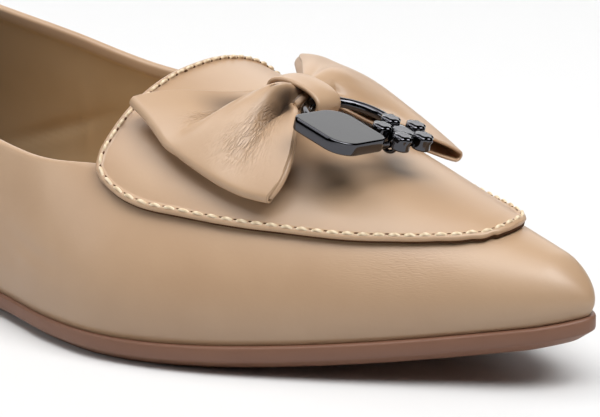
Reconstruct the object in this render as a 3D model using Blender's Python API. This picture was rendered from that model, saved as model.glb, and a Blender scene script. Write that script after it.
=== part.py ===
"""Pointed ballet flat for a left foot, with a stitched apron, a leather bow and metal charms on a ring.

The shoe is worked out in millimetres in the last's own frame: x runs from the back of the heel to the
toe, y from the medial (inner, negative) to the lateral (outer, positive) side, and z up from the floor.
Finished meshes are put in metres with the origin on the floor under the middle of the shoe.
"""

import math

import bmesh
import bpy
import numpy as np

MM = 0.001
MEDIAL, LATERAL = -1.0, 1.0
FIT_GAP = 0.3
MERGE_DISTANCE = 0.01
SHARP_EDGE = math.radians(40.0)
NORMAL_STEP = 0.4
NORMAL_TURN = 0.012


class Table:
    """Short table with named columns, whose other columns are read by the first."""

    def __init__(self, columns, rows):
        self.columns = dict(zip(columns, np.array(rows, float).T))
        self.stations = self.columns[columns[0]]

    def curve(self, name, at):
        """Cubic curve through a column, with slopes taken from the neighbouring rows."""
        values = self.columns[name]
        slopes = np.gradient(values, self.stations)
        at = np.clip(np.asarray(at, float), self.stations[0], self.stations[-1])
        row = np.clip(np.searchsorted(self.stations, at) - 1, 0, len(self.stations) - 2)
        width = self.stations[row + 1] - self.stations[row]
        t = (at - self.stations[row]) / width
        start = (1 + 2 * t) * (1 - t) ** 2 * values[row] + t * (1 - t) ** 2 * width * slopes[row]
        end = t * t * (3 - 2 * t) * values[row + 1] + t * t * (t - 1) * width * slopes[row + 1]
        return start + end


# Last and sole sizes
SHOE_LENGTH = 258.0
FRAME_ORIGIN = (SHOE_LENGTH / 2, 0.0, 0.0)
HEEL_ROUND = 30.0
TOE_ROUND = 8.0
HEEL_SQUARENESS = 2.2
OUTLINE = Table(
    ("station", "medial", "lateral"),
    (
        (0.0, 27.0, 27.0),
        (30.0, 27.5, 27.5),
        (60.0, 25.5, 27.5),
        (92.0, 24.0, 29.0),
        (120.0, 26.6, 34.0),
        (145.0, 32.7, 39.0),
        (160.0, 38.0, 40.0),
        (172.0, 40.0, 39.0),
        (184.0, 38.6, 36.3),
        (196.0, 35.0, 32.4),
        (210.0, 29.0, 26.8),
        (226.0, 21.3, 19.6),
        (242.0, 13.0, 12.2),
        (258.0, 5.2, 5.2),
    ),
)
CHAMFER_INSET = 3.0
CHAMFER_HEIGHT = 2.3
EDGE_HEIGHT = 2.7
FEATHER_BEVEL = 0.4
SOLE_THICKNESS = CHAMFER_HEIGHT + EDGE_HEIGHT
HEEL_SEAT_HEIGHT = 11.0
HEEL_BREAST = 58.0
BREAST_SLOPE = 1.5
SHANK_LIFT = 3.0
TREAD_START = 136.0
TREAD_END = 176.0
TOE_SPRING = 9.2
SPRING_POWER = 1.8
SEAT_START, SEAT_END = 52.0, 146.0

# Upper sizes
UPPER_WALL = 1.8
UPPER_INSET = 0.8
SIDE_BULGE = 0.7
BULGE_HEIGHT = 7.0
BULGE_FADE = 10.0
HEEL_SPINE = 34.0
SECTION_POWER = 2.3
TOE_CAP_ROUND = 11.0
THROAT = 169.0
RIDGE = Table(
    ("station", "height"),
    (
        (0.0, 84.0),
        (60.0, 84.0),
        (110.0, 68.0),
        (145.0, 55.5),
        (168.0, 45.7),
        (190.0, 40.6),
        (212.0, 35.0),
        (230.0, 30.1),
        (242.0, 26.8),
        (250.0, 24.4),
        (258.0, 21.6),
    ),
)
TOPLINE = Table(
    ("station", "height"),
    (
        (0.0, 58.0),
        (25.0, 57.0),
        (55.0, 52.4),
        (85.0, 46.4),
        (115.0, 40.2),
        (136.0, 35.0),
        (148.0, 33.9),
        (168.0, 35.2),
    ),
)

# Insole and apron sizes
INSOLE_INSET = 3.4
INSOLE_THICKNESS = 1.5
APRON_THICKNESS = 1.3
APRON_REAR = 167.4
APRON_TIP = 241.6
APRON_EDGE = Table(
    ("share", "angle"),
    (
        (0.0, 46.0),
        (0.008, 42.0),
        (0.027, 39.4),
        (0.06, 37.5),
        (0.10, 36.0),
        (0.15, 35.0),
        (0.28, 35.4),
        (0.50, 37.6),
        (0.76, 44.5),
        (0.87, 52.0),
        (0.945, 61.0),
        (0.984, 71.0),
        (0.997, 81.0),
        (1.0, 90.0),
    ),
)

# Bow sizes: it lies across the vamp, tilted forwards, and turned a little towards the lateral toe
BOW_CENTRE = (194.0, 0.0, 46.0)
BOW_SLOPE = math.radians(16.0)
BOW_TURN = math.radians(8.0)
BOW_ROLL = math.radians(3.5)
BOW_LEATHER = 1.2
BOW_PINCH = 3.2
BOW_PINCH_SHARE = 0.24
BOW_SPREAD_POWER = 0.85
BOW_WINGS = Table(
    ("side", "half_span", "lean", "bulge", "bulge_power", "half_width", "shift", "droop", "dip", "curl"),
    (
        (MEDIAL, 25.8, 0.0, 4.4, 2.0, 17.6, -0.6, 7.4, 0.9, 0.0),
        (LATERAL, 25.4, 2.4, 4.2, 3.0, 19.4, 1.2, 5.8, -0.4, 1.5),
    ),
)
BOW_RISE = 0.7
BOW_DROOP_POWER = 2.6
BOW_PLEAT = 0.10
BOW_PLEAT_POWER = 1.5
BOW_END_GAP = 1.6
LOOP = Table(("share", "half_gap"), ((0.0, 0.8), (0.15, 0.85), (0.5, 0.95), (0.8, 1.4), (1.0, BOW_END_GAP)))
KNOT_WIDTH = 6.0
KNOT_ACROSS = -1.4
KNOT_LEATHER = 1.1
KNOT_HALF_LENGTH = 6.0
KNOT_HALF_HEIGHT = 2.8
KNOT_SHIFT = 0.9
KNOT_SQUARENESS = 2.4
KNOT_EDGE = 0.4
KNOT_PROFILE = Table(
    ("edge_to_edge", "fullness"),
    ((0.0, 0.4), (KNOT_EDGE, 0.85), (KNOT_WIDTH / 2, 1.0), (KNOT_WIDTH - KNOT_EDGE, 0.85), (KNOT_WIDTH, 0.4)),
)

# Charm sizes: a wire ring through the knot, with a tag and a flower that sit on it by loops underneath
WIRE_RADIUS = 0.85
RING_RADIUS = 9.0
RING_AHEAD_OF_BOW = 4.6
RING_ACROSS = -1.2
RING_ABOVE_BOW = 0.4
RING_TILT = math.radians(1.0)
LOOP_HOLE_RADIUS = 1.25
LOOP_OUTER_RADIUS = 2.1
LOOP_WIDTH = 1.8
CHARM_LIFT = LOOP_HOLE_RADIUS + 0.15
TAG_HALF_LENGTH = 7.0
TAG_HALF_WIDTH = 6.5
TAG_SQUARENESS = 3.0
TAG_THICKNESS = 2.6
TAG_BEVEL = 0.4
TAG_RING_ANGLE = math.radians(-61.0)
TAG_REACH = 5.0
TAG_TURN = math.radians(60.0)
FLOWER_RING_ANGLE = math.radians(5.0)
FLOWER_REACH = 2.0
PETALS = 5
PETAL_START = math.radians(18.0)
PETAL_STEP = 0.2
PETAL_RADIUS = 1.8
PETAL_DISTANCE = 4.2
PETAL_HEIGHT = 2.9
PETAL_TOP_SHARE = 0.8
PETAL_SHOULDER_SHARE = 0.85
FLOWER_EYE_RADIUS = 2.9
FLOWER_EYE_HEIGHT = 2.3


def ease(share):
    """Smooth step from 0 to 1."""
    share = np.clip(share, 0.0, 1.0)
    return share * share * (3 - 2 * share)


def half_width(x, side):
    """Half width of the sole's outline at a station, on the medial or the lateral side."""
    width = OUTLINE.curve("medial" if side == MEDIAL else "lateral", x)
    behind = np.clip((HEEL_ROUND - x) / HEEL_ROUND, 0.0, 1.0)
    ahead = np.clip((x - SHOE_LENGTH + TOE_ROUND) / TOE_ROUND, 0.0, 1.0)
    heel_cap = (1 - behind**HEEL_SQUARENESS) ** (1 / HEEL_SQUARENESS)
    return width * heel_cap * np.sqrt(1 - ahead**2)


def toe_spring(x):
    return TOE_SPRING * np.clip((x - TREAD_END) / (SHOE_LENGTH - TREAD_END), 0.0, 1.0) ** SPRING_POWER


def tread_height(x):
    """Height of the sole's underside: flat heel, raised shank, flat forefoot and toe spring."""
    breast = np.clip((x - HEEL_BREAST) / BREAST_SLOPE, 0.0, 1.0)
    shank = 1 - ease((x - HEEL_BREAST) / (TREAD_START - HEEL_BREAST))
    return SHANK_LIFT * breast * shank + toe_spring(x)


def feather_height(x):
    """Height of the sole's top edge, where the upper meets it."""
    seat = 1 - ease((x - SEAT_START) / (SEAT_END - SEAT_START))
    return SOLE_THICKNESS + (HEEL_SEAT_HEIGHT - SOLE_THICKNESS) * seat + toe_spring(x)


def ridge_rise(x):
    """Height of the last's ridge above the feather line, rounded off at the toe."""
    ahead = np.clip((x - SHOE_LENGTH + TOE_CAP_ROUND) / TOE_CAP_ROUND, 0.0, 1.0)
    return (RIDGE.curve("height", x) - feather_height(x)) * np.sqrt(1 - ahead**2)


def upper_point(x, side, angle, lift=0.0):
    """Point on the upper at a station: angle 0 is the feather line and a quarter turn is the ridge.

    lift moves the point out along the section, for pieces that lie on the upper.
    """
    foot_x = UPPER_INSET + x * (1 - 2 * UPPER_INSET / SHOE_LENGTH)
    foot = np.array([foot_x, side * max(half_width(x, side) - UPPER_INSET, 0.0)])
    spine = np.array([max(foot_x, HEEL_SPINE), 0.0])
    reach = foot - spine
    across = np.linalg.norm(reach)
    outward = reach / across if across > MERGE_DISTANCE else np.array([1.0, 0.0])
    cos_share = max(math.cos(angle), 0.0) ** (2 / SECTION_POWER)
    sin_share = max(math.sin(angle), 0.0) ** (2 / SECTION_POWER)
    rise = float(ridge_rise(x)) * sin_share
    height = rise / BULGE_HEIGHT
    bulge = SIDE_BULGE * min(across / BULGE_FADE, 1.0) * height * math.exp(1 - height)
    flat = spine + outward * (across * cos_share + bulge * cos_share)
    point = np.array([flat[0], flat[1], float(feather_height(x)) + FIT_GAP + rise])
    if lift:
        point = point + lift * upper_normal(x, side, angle)
    return point


def upper_normal(x, side, angle):
    """Outward normal of the upper, from small steps along and around it."""
    step_x, step_angle = NORMAL_STEP, NORMAL_TURN
    low, high = max(angle - step_angle, 0.0), min(angle + step_angle, math.pi / 2)
    around = upper_point(x, side, high) - upper_point(x, side, low)
    if angle + step_angle > math.pi / 2:
        around = np.array([0.0, -side, 0.0])
    ahead = min(x + step_x, SHOE_LENGTH - MERGE_DISTANCE)
    along = upper_point(ahead, side, angle) - upper_point(x - step_x, side, angle)
    normal = np.cross(along, around) * -side
    return normal / np.linalg.norm(normal)


def topline_angle(x):
    """Section angle at which the collar is cut."""
    height = float(TOPLINE.curve("height", x))
    share = (height - float(feather_height(x)) - FIT_GAP) / float(ridge_rise(x))
    return math.asin(min(share, 1.0) ** (SECTION_POWER / 2))


def end_spaced(start, end, count):
    """Stations from start to end that close up towards the end, where the form is round."""
    return [end - (end - start) * (1 - i / count) ** 2 for i in range(count + 1)]


def finish(name, colour, roughness, metallic=0.0):
    material = bpy.data.materials.new(name)
    material.use_nodes = True
    shader = material.node_tree.nodes["Principled BSDF"]
    shader.inputs["Base Color"].default_value = (*colour, 1.0)
    shader.inputs["Roughness"].default_value = roughness
    shader.inputs["Metallic"].default_value = metallic
    return material


def to_frame(point):
    """Last millimetres to the part's metres, with the origin under the middle of the shoe."""
    return np.subtract(point, FRAME_ORIGIN) * MM


def add_object(name, points, faces, material, origin=FRAME_ORIGIN):
    """Mesh object from points in the last's frame, with its own origin at a place in that frame."""
    mesh = bpy.data.meshes.new(name)
    mesh.from_pydata([np.subtract(p, origin) * MM for p in points], [], faces)
    edit = bmesh.new()
    edit.from_mesh(mesh)
    bmesh.ops.remove_doubles(edit, verts=edit.verts, dist=MERGE_DISTANCE * MM)
    bmesh.ops.recalc_face_normals(edit, faces=edit.faces)
    edit.to_mesh(mesh)
    edit.free()
    mesh.shade_smooth()
    mesh.set_sharp_from_angle(angle=SHARP_EDGE)
    mesh.materials.append(material)
    made = bpy.data.objects.new(name, mesh)
    made.location = to_frame(origin)
    bpy.context.scene.collection.objects.link(made)
    return made


def grid_faces(rows, columns, start=0, wrap_rows=False, wrap_columns=False):
    """Faces of a grid of points that is stored row by row."""
    faces = []
    for r in range(rows if wrap_rows else rows - 1):
        for c in range(columns if wrap_columns else columns - 1):
            next_r, next_c = (r + 1) % rows, (c + 1) % columns
            faces.append(
                (
                    start + r * columns + c,
                    start + r * columns + next_c,
                    start + next_r * columns + next_c,
                    start + next_r * columns + c,
                )
            )
    return faces


def sole_stations():
    heel = [HEEL_ROUND - s for s in end_spaced(0.0, HEEL_ROUND, 9)][::-1]
    waist = list(np.linspace(HEEL_ROUND, HEEL_BREAST, 4)[1:]) + [HEEL_BREAST + BREAST_SLOPE]
    ball = list(np.linspace(HEEL_BREAST + BREAST_SLOPE, THROAT, 11)[1:])
    return heel + waist + ball + end_spaced(THROAT, SHOE_LENGTH, 20)[1:]


def outline_loop(stations, inset, height):
    """Loop of points around the sole, medial side forwards and lateral side back."""
    rows = {}
    for side in (MEDIAL, LATERAL):
        widths = np.array([float(half_width(x, side)) for x in stations])
        slope_x, slope_w = np.gradient(np.array(stations)), np.gradient(widths)
        length = np.hypot(slope_x, slope_w)
        inward_x, inward_w = slope_w / length, -slope_x / length
        inward_x[0], inward_w[0] = 1.0, 0.0
        inward_x[-1], inward_w[-1] = -1.0, 0.0
        x = np.array(stations) + inset * inward_x
        w = np.maximum(widths + inset * inward_w, 0.0)
        rows[side] = [(a, side * b, float(height(s))) for a, b, s in zip(x, w, stations)]
    return rows


def raised(height, by):
    """A height function moved up by a distance."""
    return lambda x: height(x) + by


def slab(name, stations, layers, material):
    """Closed slab of the sole's outline. layers are (inset, height function) from the bottom up."""
    points, faces = [], []
    count = len(stations)
    for inset, height in layers:
        rows = outline_loop(stations, inset, height)
        points += rows[MEDIAL] + rows[LATERAL]
    for layer in range(len(layers) - 1):
        low, high = layer * 2 * count, (layer + 1) * 2 * count
        for side in (0, count):
            for i in range(count - 1):
                a, b = side + i, side + i + 1
                faces.append((low + a, low + b, high + b, high + a))
    for layer in (0, len(layers) - 1):
        first = layer * 2 * count
        for i in range(count - 1):
            faces.append((first + i, first + i + 1, first + count + i + 1, first + count + i))
    return add_object(name, points, faces, material)


def build_outsole(material):
    layers = (
        (CHAMFER_INSET, tread_height),
        (0.0, raised(tread_height, CHAMFER_HEIGHT)),
        (0.0, raised(feather_height, -FEATHER_BEVEL)),
        (FEATHER_BEVEL, feather_height),
    )
    return slab("outsole", sole_stations(), layers, material)


def build_insole(material):
    layers = [(INSOLE_INSET, raised(feather_height, FIT_GAP + up)) for up in (0.0, INSOLE_THICKNESS)]
    return slab("insole", sole_stations(), layers, material)


def build_upper(material):
    """Hollow upper: side walls round the heel and arches over the vamp, given its wall by Solidify."""
    side_levels, vamp_levels = 8, 6
    corner = topline_angle(THROAT)
    points, faces = [], []
    heel = [HEEL_SPINE - s for s in end_spaced(0.0, HEEL_SPINE, 9)]
    stations = list(np.linspace(THROAT, HEEL_SPINE, 18)[:-1]) + heel
    for side in (MEDIAL, LATERAL):
        start = len(points)
        for x in stations:
            top = topline_angle(x)
            points += [upper_point(x, side, top * k / side_levels) for k in range(side_levels + 1)]
        faces += grid_faces(len(stations), side_levels + 1, start)
    angles = [corner * k / side_levels for k in range(side_levels)]
    angles += [corner + (math.pi / 2 - corner) * k / vamp_levels for k in range(vamp_levels + 1)]
    start = len(points)
    arches = end_spaced(THROAT, SHOE_LENGTH, 24)
    for x in arches:
        points += [upper_point(x, MEDIAL, a) for a in angles]
        points += [upper_point(x, LATERAL, a) for a in angles[-2::-1]]
    faces += grid_faces(len(arches), 2 * len(angles) - 1, start)
    made = add_object("upper", points, faces, material)
    wall = made.modifiers.new("wall", "SOLIDIFY")
    wall.thickness = UPPER_WALL * MM
    wall.offset = -1.0
    wall.use_even_offset = True
    wall.use_quality_normals = True
    return made


def build_apron(material):
    """Apron laid over the vamp: a sheet between two offsets of the upper's own surface."""
    rows, half_columns = 26, 7
    shares = [(1 - math.cos(math.pi * r / rows)) / 2 for r in range(rows + 1)]
    steps = [k / half_columns for k in range(-half_columns, half_columns + 1)]
    points, faces = [], []
    for lift in (FIT_GAP, FIT_GAP + APRON_THICKNESS):
        for share in shares:
            x = APRON_REAR + (APRON_TIP - APRON_REAR) * share
            edge = math.radians(float(APRON_EDGE.curve("angle", share)))
            for step in steps:
                side = MEDIAL if step < 0 else LATERAL
                points.append(upper_point(x, side, math.pi / 2 - abs(step) * (math.pi / 2 - edge), lift))
    count, width = len(shares), len(steps)
    top = count * width
    faces += grid_faces(count, width) + grid_faces(count, width, top)
    rim = [r * width for r in range(count)] + [(count - 1) * width + c for c in range(1, width)]
    rim += [r * width + width - 1 for r in range(count - 2, -1, -1)] + list(range(width - 2, 0, -1))
    for here, after in zip(rim, rim[1:] + rim[:1]):
        faces.append((here, after, top + after, top + here))
    return add_object("apron", points, faces, material)


class Place:
    """Origin and three axes in the last's frame, for pieces with a frame of their own."""

    def __init__(self, origin, forward, across):
        self.origin = np.asarray(origin, float)
        self.forward = np.asarray(forward, float)
        self.across = np.asarray(across, float)
        self.up = np.cross(self.forward, self.across)

    def at(self, forward, across, up):
        return self.origin + forward * self.forward + across * self.across + up * self.up


def bow_place():
    ahead = np.array([math.cos(BOW_SLOPE), 0.0, -math.sin(BOW_SLOPE)])
    up = np.cross(ahead, (0.0, 1.0, 0.0))
    side = np.array([0.0, math.cos(BOW_ROLL), 0.0]) - up * math.sin(BOW_ROLL)
    forward = ahead * math.cos(BOW_TURN) - side * math.sin(BOW_TURN)
    across = side * math.cos(BOW_TURN) + ahead * math.sin(BOW_TURN)
    return Place(BOW_CENTRE, forward, across)


def bow_wing(side):
    """Sizes of one wing of the bow, by name."""
    row = 0 if side < 0 else 1
    return {name: float(values[row]) for name, values in BOW_WINGS.columns.items()}


def bow_middle(along, across):
    """Place of the bow's middle surface as forward, sideways and up; both shares run from -1 to 1."""
    wing = bow_wing(along)
    out = abs(along)
    spread = max(out - BOW_PINCH_SHARE, 0.0) / (1 - BOW_PINCH_SHARE)
    half = BOW_PINCH + (wing["half_width"] - BOW_PINCH) * spread**BOW_SPREAD_POWER
    bulge = wing["bulge"] * (1 - abs(across) ** wing["bulge_power"]) + wing["lean"] * across
    span = wing["half_span"] + bulge - BOW_END_GAP - BOW_LEATHER / 2
    pleat = BOW_PLEAT * half * math.cos(2 * math.pi * across) * (1 - out**BOW_PLEAT_POWER)
    droop = wing["droop"] * out**BOW_DROOP_POWER + wing["dip"] * across * out**2
    droop += wing["curl"] * max(across, 0.0) ** 2 * math.sqrt(spread)
    rise = BOW_RISE * float(ease(out / (2 * BOW_PINCH_SHARE)))
    return wing["shift"] * spread + across * half, along * span, pleat + rise - droop


def bow_turns(count):
    """Steps round the band: over the top, round one end, back underneath and round the other end."""
    turns = []
    for side in (1.0, -1.0):
        turns += [(side * (2 * k / count - 1), 0.0, side) for k in range(count + 1)]
        turns += [(side, side * math.cos(a), side * math.sin(a)) for a in (math.pi / 4, 0.0, -math.pi / 4)]
    return turns


def build_bow(material):
    """Band folded into two hollow loops: an outer and an inner skin, joined along the two open edges."""
    place = bow_place()
    turns = bow_turns(18)
    steps = [k / 5 for k in range(-5, 6)]
    points = []
    for wall in (BOW_LEATHER / 2, -BOW_LEATHER / 2):
        for step in steps:
            for along, end, layer in turns:
                reach = float(LOOP.curve("half_gap", abs(along))) + wall
                forward, sideways, lift = bow_middle(along, step)
                points.append(place.at(forward, sideways + end * reach, lift + layer * reach))
    return add_object("bow_loops", points, band_faces(len(steps), len(turns)), material)


def band_faces(rows, turns):
    """Faces of a closed band that is stored as its outer rows of turns and then its inner rows."""
    inner = rows * turns
    faces = grid_faces(rows, turns, 0, wrap_columns=True) + grid_faces(rows, turns, inner, wrap_columns=True)
    for edge in (0, (rows - 1) * turns):
        for k in range(turns):
            after = (k + 1) % turns
            faces.append((edge + k, edge + after, inner + edge + after, inner + edge + k))
    return faces


def oval(half_long, half_wide, squareness, count):
    """Closed outline between an ellipse and a box; squareness 2 is the ellipse."""
    points = []
    for k in range(count):
        turn = 2 * math.pi * k / count
        long_share = math.copysign(abs(math.cos(turn)) ** (2 / squareness), math.cos(turn))
        wide_share = math.copysign(abs(math.sin(turn)) ** (2 / squareness), math.sin(turn))
        points.append((half_long * long_share, half_wide * wide_share))
    return points


def build_knot(material):
    """Strap round the pinched middle of the bow, with rounded edges."""
    place = bow_place()
    count = 28
    outer, inner = [], []
    for from_edge, fullness in zip(KNOT_PROFILE.stations, KNOT_PROFILE.columns["fullness"]):
        across = KNOT_ACROSS - KNOT_WIDTH / 2 + from_edge
        for skin, thick in ((outer, KNOT_LEATHER * fullness), (inner, 0.0)):
            path = oval(KNOT_HALF_LENGTH + thick, KNOT_HALF_HEIGHT + thick, KNOT_SQUARENESS, count)
            skin += [place.at(KNOT_SHIFT + f, across, u) for f, u in path]
    return add_object("bow_knot", outer + inner, band_faces(len(KNOT_PROFILE.stations), count), material)


def ring_hinge():
    """Where the ring's wire passes through the knot."""
    return bow_place().at(RING_AHEAD_OF_BOW, RING_ACROSS, RING_ABOVE_BOW)


def ring_place():
    """Frame in the ring's plane at its centre; it lies a little flatter than the bow."""
    bow = bow_place()
    forward = bow.forward * math.cos(RING_TILT) + bow.up * math.sin(RING_TILT)
    return Place(ring_hinge() + RING_RADIUS * forward, forward, bow.across)


def charm_place(ring_angle):
    """Frame on the ring's wire: forward points out of the ring and across lies along the wire."""
    ring = ring_place()
    out = ring.forward * math.cos(ring_angle) + ring.across * math.sin(ring_angle)
    wire = ring.across * math.cos(ring_angle) - ring.forward * math.sin(ring_angle)
    return Place(ring.origin + RING_RADIUS * out, out, wire)


def build_ring(material):
    place = ring_place()
    rows, columns = 44, 10
    points = []
    for r in range(rows):
        turn = 2 * math.pi * r / rows
        for c in range(columns):
            angle = 2 * math.pi * c / columns
            reach, rise = RING_RADIUS + WIRE_RADIUS * math.cos(angle), WIRE_RADIUS * math.sin(angle)
            points.append(place.at(reach * math.cos(turn), reach * math.sin(turn), rise))
    return add_object("charm_ring", points, grid_faces(rows, columns, 0, True, True), material, ring_hinge())


def stack(name, place, layers, material):
    """Closed solid from loops of (forward, across) points at rising heights."""
    count = len(layers[0][1])
    points = [place.at(f, a, height) for height, loop in layers for f, a in loop]
    faces = grid_faces(len(layers), count, 0, wrap_columns=True)
    faces.append(tuple(range(count)))
    faces.append(tuple(range(len(points) - count, len(points))))
    return add_object(name, points, faces, material, place.origin)


def circle(radius, count, centre=(0.0, 0.0)):
    turns = [2 * math.pi * k / count for k in range(count)]
    return [(centre[0] + radius * math.cos(t), centre[1] + radius * math.sin(t)) for t in turns]


def merge(main_object, others):
    """Boolean union of the pieces into the first one, so that it is one body."""
    for other in others:
        union = main_object.modifiers.new("union", "BOOLEAN")
        union.operation = "UNION"
        union.solver = "EXACT"
        union.object = other
        bpy.context.view_layer.update()
        whole = main_object.evaluated_get(bpy.context.evaluated_depsgraph_get())
        mesh = bpy.data.meshes.new_from_object(whole)
        main_object.modifiers.clear()
        main_object.data = mesh
        bpy.data.objects.remove(other)
    return main_object


def wire_loop(place, material):
    """Loop round the ring's wire, under a charm."""
    count, half = 20, LOOP_WIDTH / 2
    points = []
    for radius in (LOOP_OUTER_RADIUS, LOOP_HOLE_RADIUS):
        for across in (-half, half):
            points += [place.at(f, across, u) for f, u in circle(radius, count)]
    return add_object("wire_loop", points, band_faces(2, count), material, place.origin)


def tag_outline(scale):
    """Cushion outline of the tag, with its long axis turned against the wire."""
    loop = []
    for a, b in oval(scale * TAG_HALF_LENGTH, scale * TAG_HALF_WIDTH, TAG_SQUARENESS, 32):
        forward = a * math.cos(TAG_TURN) - b * math.sin(TAG_TURN)
        across = a * math.sin(TAG_TURN) + b * math.cos(TAG_TURN)
        loop.append((TAG_REACH + forward, across))
    return loop


def build_tag(material):
    place = charm_place(TAG_RING_ANGLE)
    low, high = CHARM_LIFT, CHARM_LIFT + TAG_THICKNESS
    inset = 1 - TAG_BEVEL / TAG_HALF_WIDTH
    layers = [(low, tag_outline(inset)), (low + TAG_BEVEL, tag_outline(1.0))]
    layers += [(high - TAG_BEVEL, tag_outline(1.0)), (high, tag_outline(inset))]
    return merge(stack("charm_tag", place, layers, material), [wire_loop(place, material)])


def build_flower(material):
    place = charm_place(FLOWER_RING_ANGLE)
    low = CHARM_LIFT
    centre = (FLOWER_REACH, 0.0)
    eye = circle(FLOWER_EYE_RADIUS, 16, centre)
    flower = stack("charm_flower", place, [(low, eye), (low + FLOWER_EYE_HEIGHT, eye)], material)
    pieces = [wire_loop(place, material)]
    for k in range(PETALS):
        turn = PETAL_START + 2 * math.pi * k / PETALS
        middle = (centre[0] + PETAL_DISTANCE * math.cos(turn), centre[1] + PETAL_DISTANCE * math.sin(turn))
        full, top = circle(PETAL_RADIUS, 16, middle), circle(PETAL_RADIUS * PETAL_TOP_SHARE, 16, middle)
        shoulder = low + PETAL_HEIGHT * PETAL_SHOULDER_SHARE
        layers = [(low + PETAL_STEP, full), (shoulder, full), (low + PETAL_HEIGHT, top)]
        pieces.append(stack("petal", place, layers, material))
    return merge(flower, pieces)


def hang(child, parent):
    """Parent a piece that swings on another one, without moving it."""
    child.location -= parent.location
    child.parent = parent


def clear_scene():
    for old in list(bpy.data.objects):
        bpy.data.objects.remove(old)


def main():
    clear_scene()
    tan = finish("tan_leather", (0.56, 0.39, 0.25), 0.45)
    rubber = finish("brown_rubber", (0.21, 0.11, 0.075), 0.5)
    lining = finish("lining", (0.30, 0.19, 0.10), 0.6)
    gunmetal = finish("gunmetal", (0.06, 0.06, 0.07), 0.2, 1.0)
    build_outsole(rubber)
    build_insole(lining)
    build_upper(tan)
    build_apron(tan)
    build_bow(tan)
    build_knot(tan)
    ring = build_ring(gunmetal)
    hang(build_tag(gunmetal), ring)
    hang(build_flower(gunmetal), ring)


main()
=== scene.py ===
"""Looks of a pointed ballet flat: leather, lining, rubber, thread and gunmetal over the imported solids.

Lengths are millimetres in the last's own frame (x from heel to toe, y from the inner to the outer side,
z up from the floor) until a mesh is made, which puts them in metres in the part's frame.
"""

import logging
import math
from dataclasses import dataclass, field
from enum import Enum
from typing import Any, Callable, Optional, Sequence

import bpy
import numpy as np
from mathutils import Matrix, Vector
from mathutils.kdtree import KDTree


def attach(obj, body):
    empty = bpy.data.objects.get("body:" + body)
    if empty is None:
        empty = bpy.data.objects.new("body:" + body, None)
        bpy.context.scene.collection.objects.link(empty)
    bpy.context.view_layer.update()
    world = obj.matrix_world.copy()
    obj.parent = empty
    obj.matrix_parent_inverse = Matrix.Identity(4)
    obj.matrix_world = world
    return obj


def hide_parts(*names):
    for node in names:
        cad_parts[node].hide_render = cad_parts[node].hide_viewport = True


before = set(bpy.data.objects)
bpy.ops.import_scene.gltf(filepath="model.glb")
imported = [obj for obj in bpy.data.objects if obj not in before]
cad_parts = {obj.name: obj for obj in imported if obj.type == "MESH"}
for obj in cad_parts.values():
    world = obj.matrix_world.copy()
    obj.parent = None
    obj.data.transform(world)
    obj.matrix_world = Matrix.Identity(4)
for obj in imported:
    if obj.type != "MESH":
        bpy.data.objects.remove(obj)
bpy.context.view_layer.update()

LOG = logging.getLogger("ballet_flat")
MM = 0.001
TINY = 1e-12
QUARTER_TURN, HALF_TURN, FULL_TURN = math.pi / 2, math.pi, 2 * math.pi
# Points closer than WELD are made one, and FIT_GAP is the room between pieces that lie on one another
WELD = 0.004
FIT_GAP = 0.3
# Values of a point that the leather reads: along and across its wrinkles, their depth, and how much painted
# shade darkens it
TRAITS = ("run", "cross", "gather", "fold")


class Side(Enum):
    """Side of the shoe, by the sign of y."""

    MEDIAL = -1.0
    LATERAL = 1.0


class Face(Enum):
    """Part of a closed wall that a face belongs to."""

    OUTER = 0
    INNER = 1
    RIM = 2
    UNDER = 3


class Body(Enum):
    """Moving body that a piece rides on."""

    SHOE = "shoe"
    RING = "ring"
    TAG = "tag"
    FLOWER = "flower"


class Slot(Enum):
    """Material slot of the record, kept with a slab; its finish is passed in and not read from the slot."""

    RUBBER = "sole_rubber"
    LINING = "lining_leather"
    LEATHER = "tan_leather"
    METAL = "gunmetal"


class Table:
    """Short table with named columns, whose other columns are read by the first."""

    def __init__(self, columns: Sequence[str], rows: Sequence[Sequence[float]]) -> None:
        """Keeps the columns by name.

        Args:
            columns: names of the columns, the one they are read by first.
            rows: one row for each section or fold.
        """
        self.columns = dict(zip(columns, np.array(rows, float).T))
        self.stations = self.columns[columns[0]]

    def curve(self, name: str, at: Any) -> np.ndarray:
        """Cubic curve through a column, with slopes taken from the neighbouring rows.

        Args:
            name: column to read.
            at: places along the first column.

        Returns:
            The column's values there.
        """
        values = self.columns[name]
        slopes = np.gradient(values, self.stations)
        at = np.clip(np.asarray(at, float), self.stations[0], self.stations[-1])
        row = np.clip(np.searchsorted(self.stations, at) - 1, 0, len(self.stations) - 2)
        width = self.stations[row + 1] - self.stations[row]
        t = (at - self.stations[row]) / width
        start = (1 + 2 * t) * (1 - t) ** 2 * values[row] + t * (1 - t) ** 2 * width * slopes[row]
        end = t * t * (3 - 2 * t) * values[row + 1] + t * t * (t - 1) * width * slopes[row + 1]
        return start + end


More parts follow.
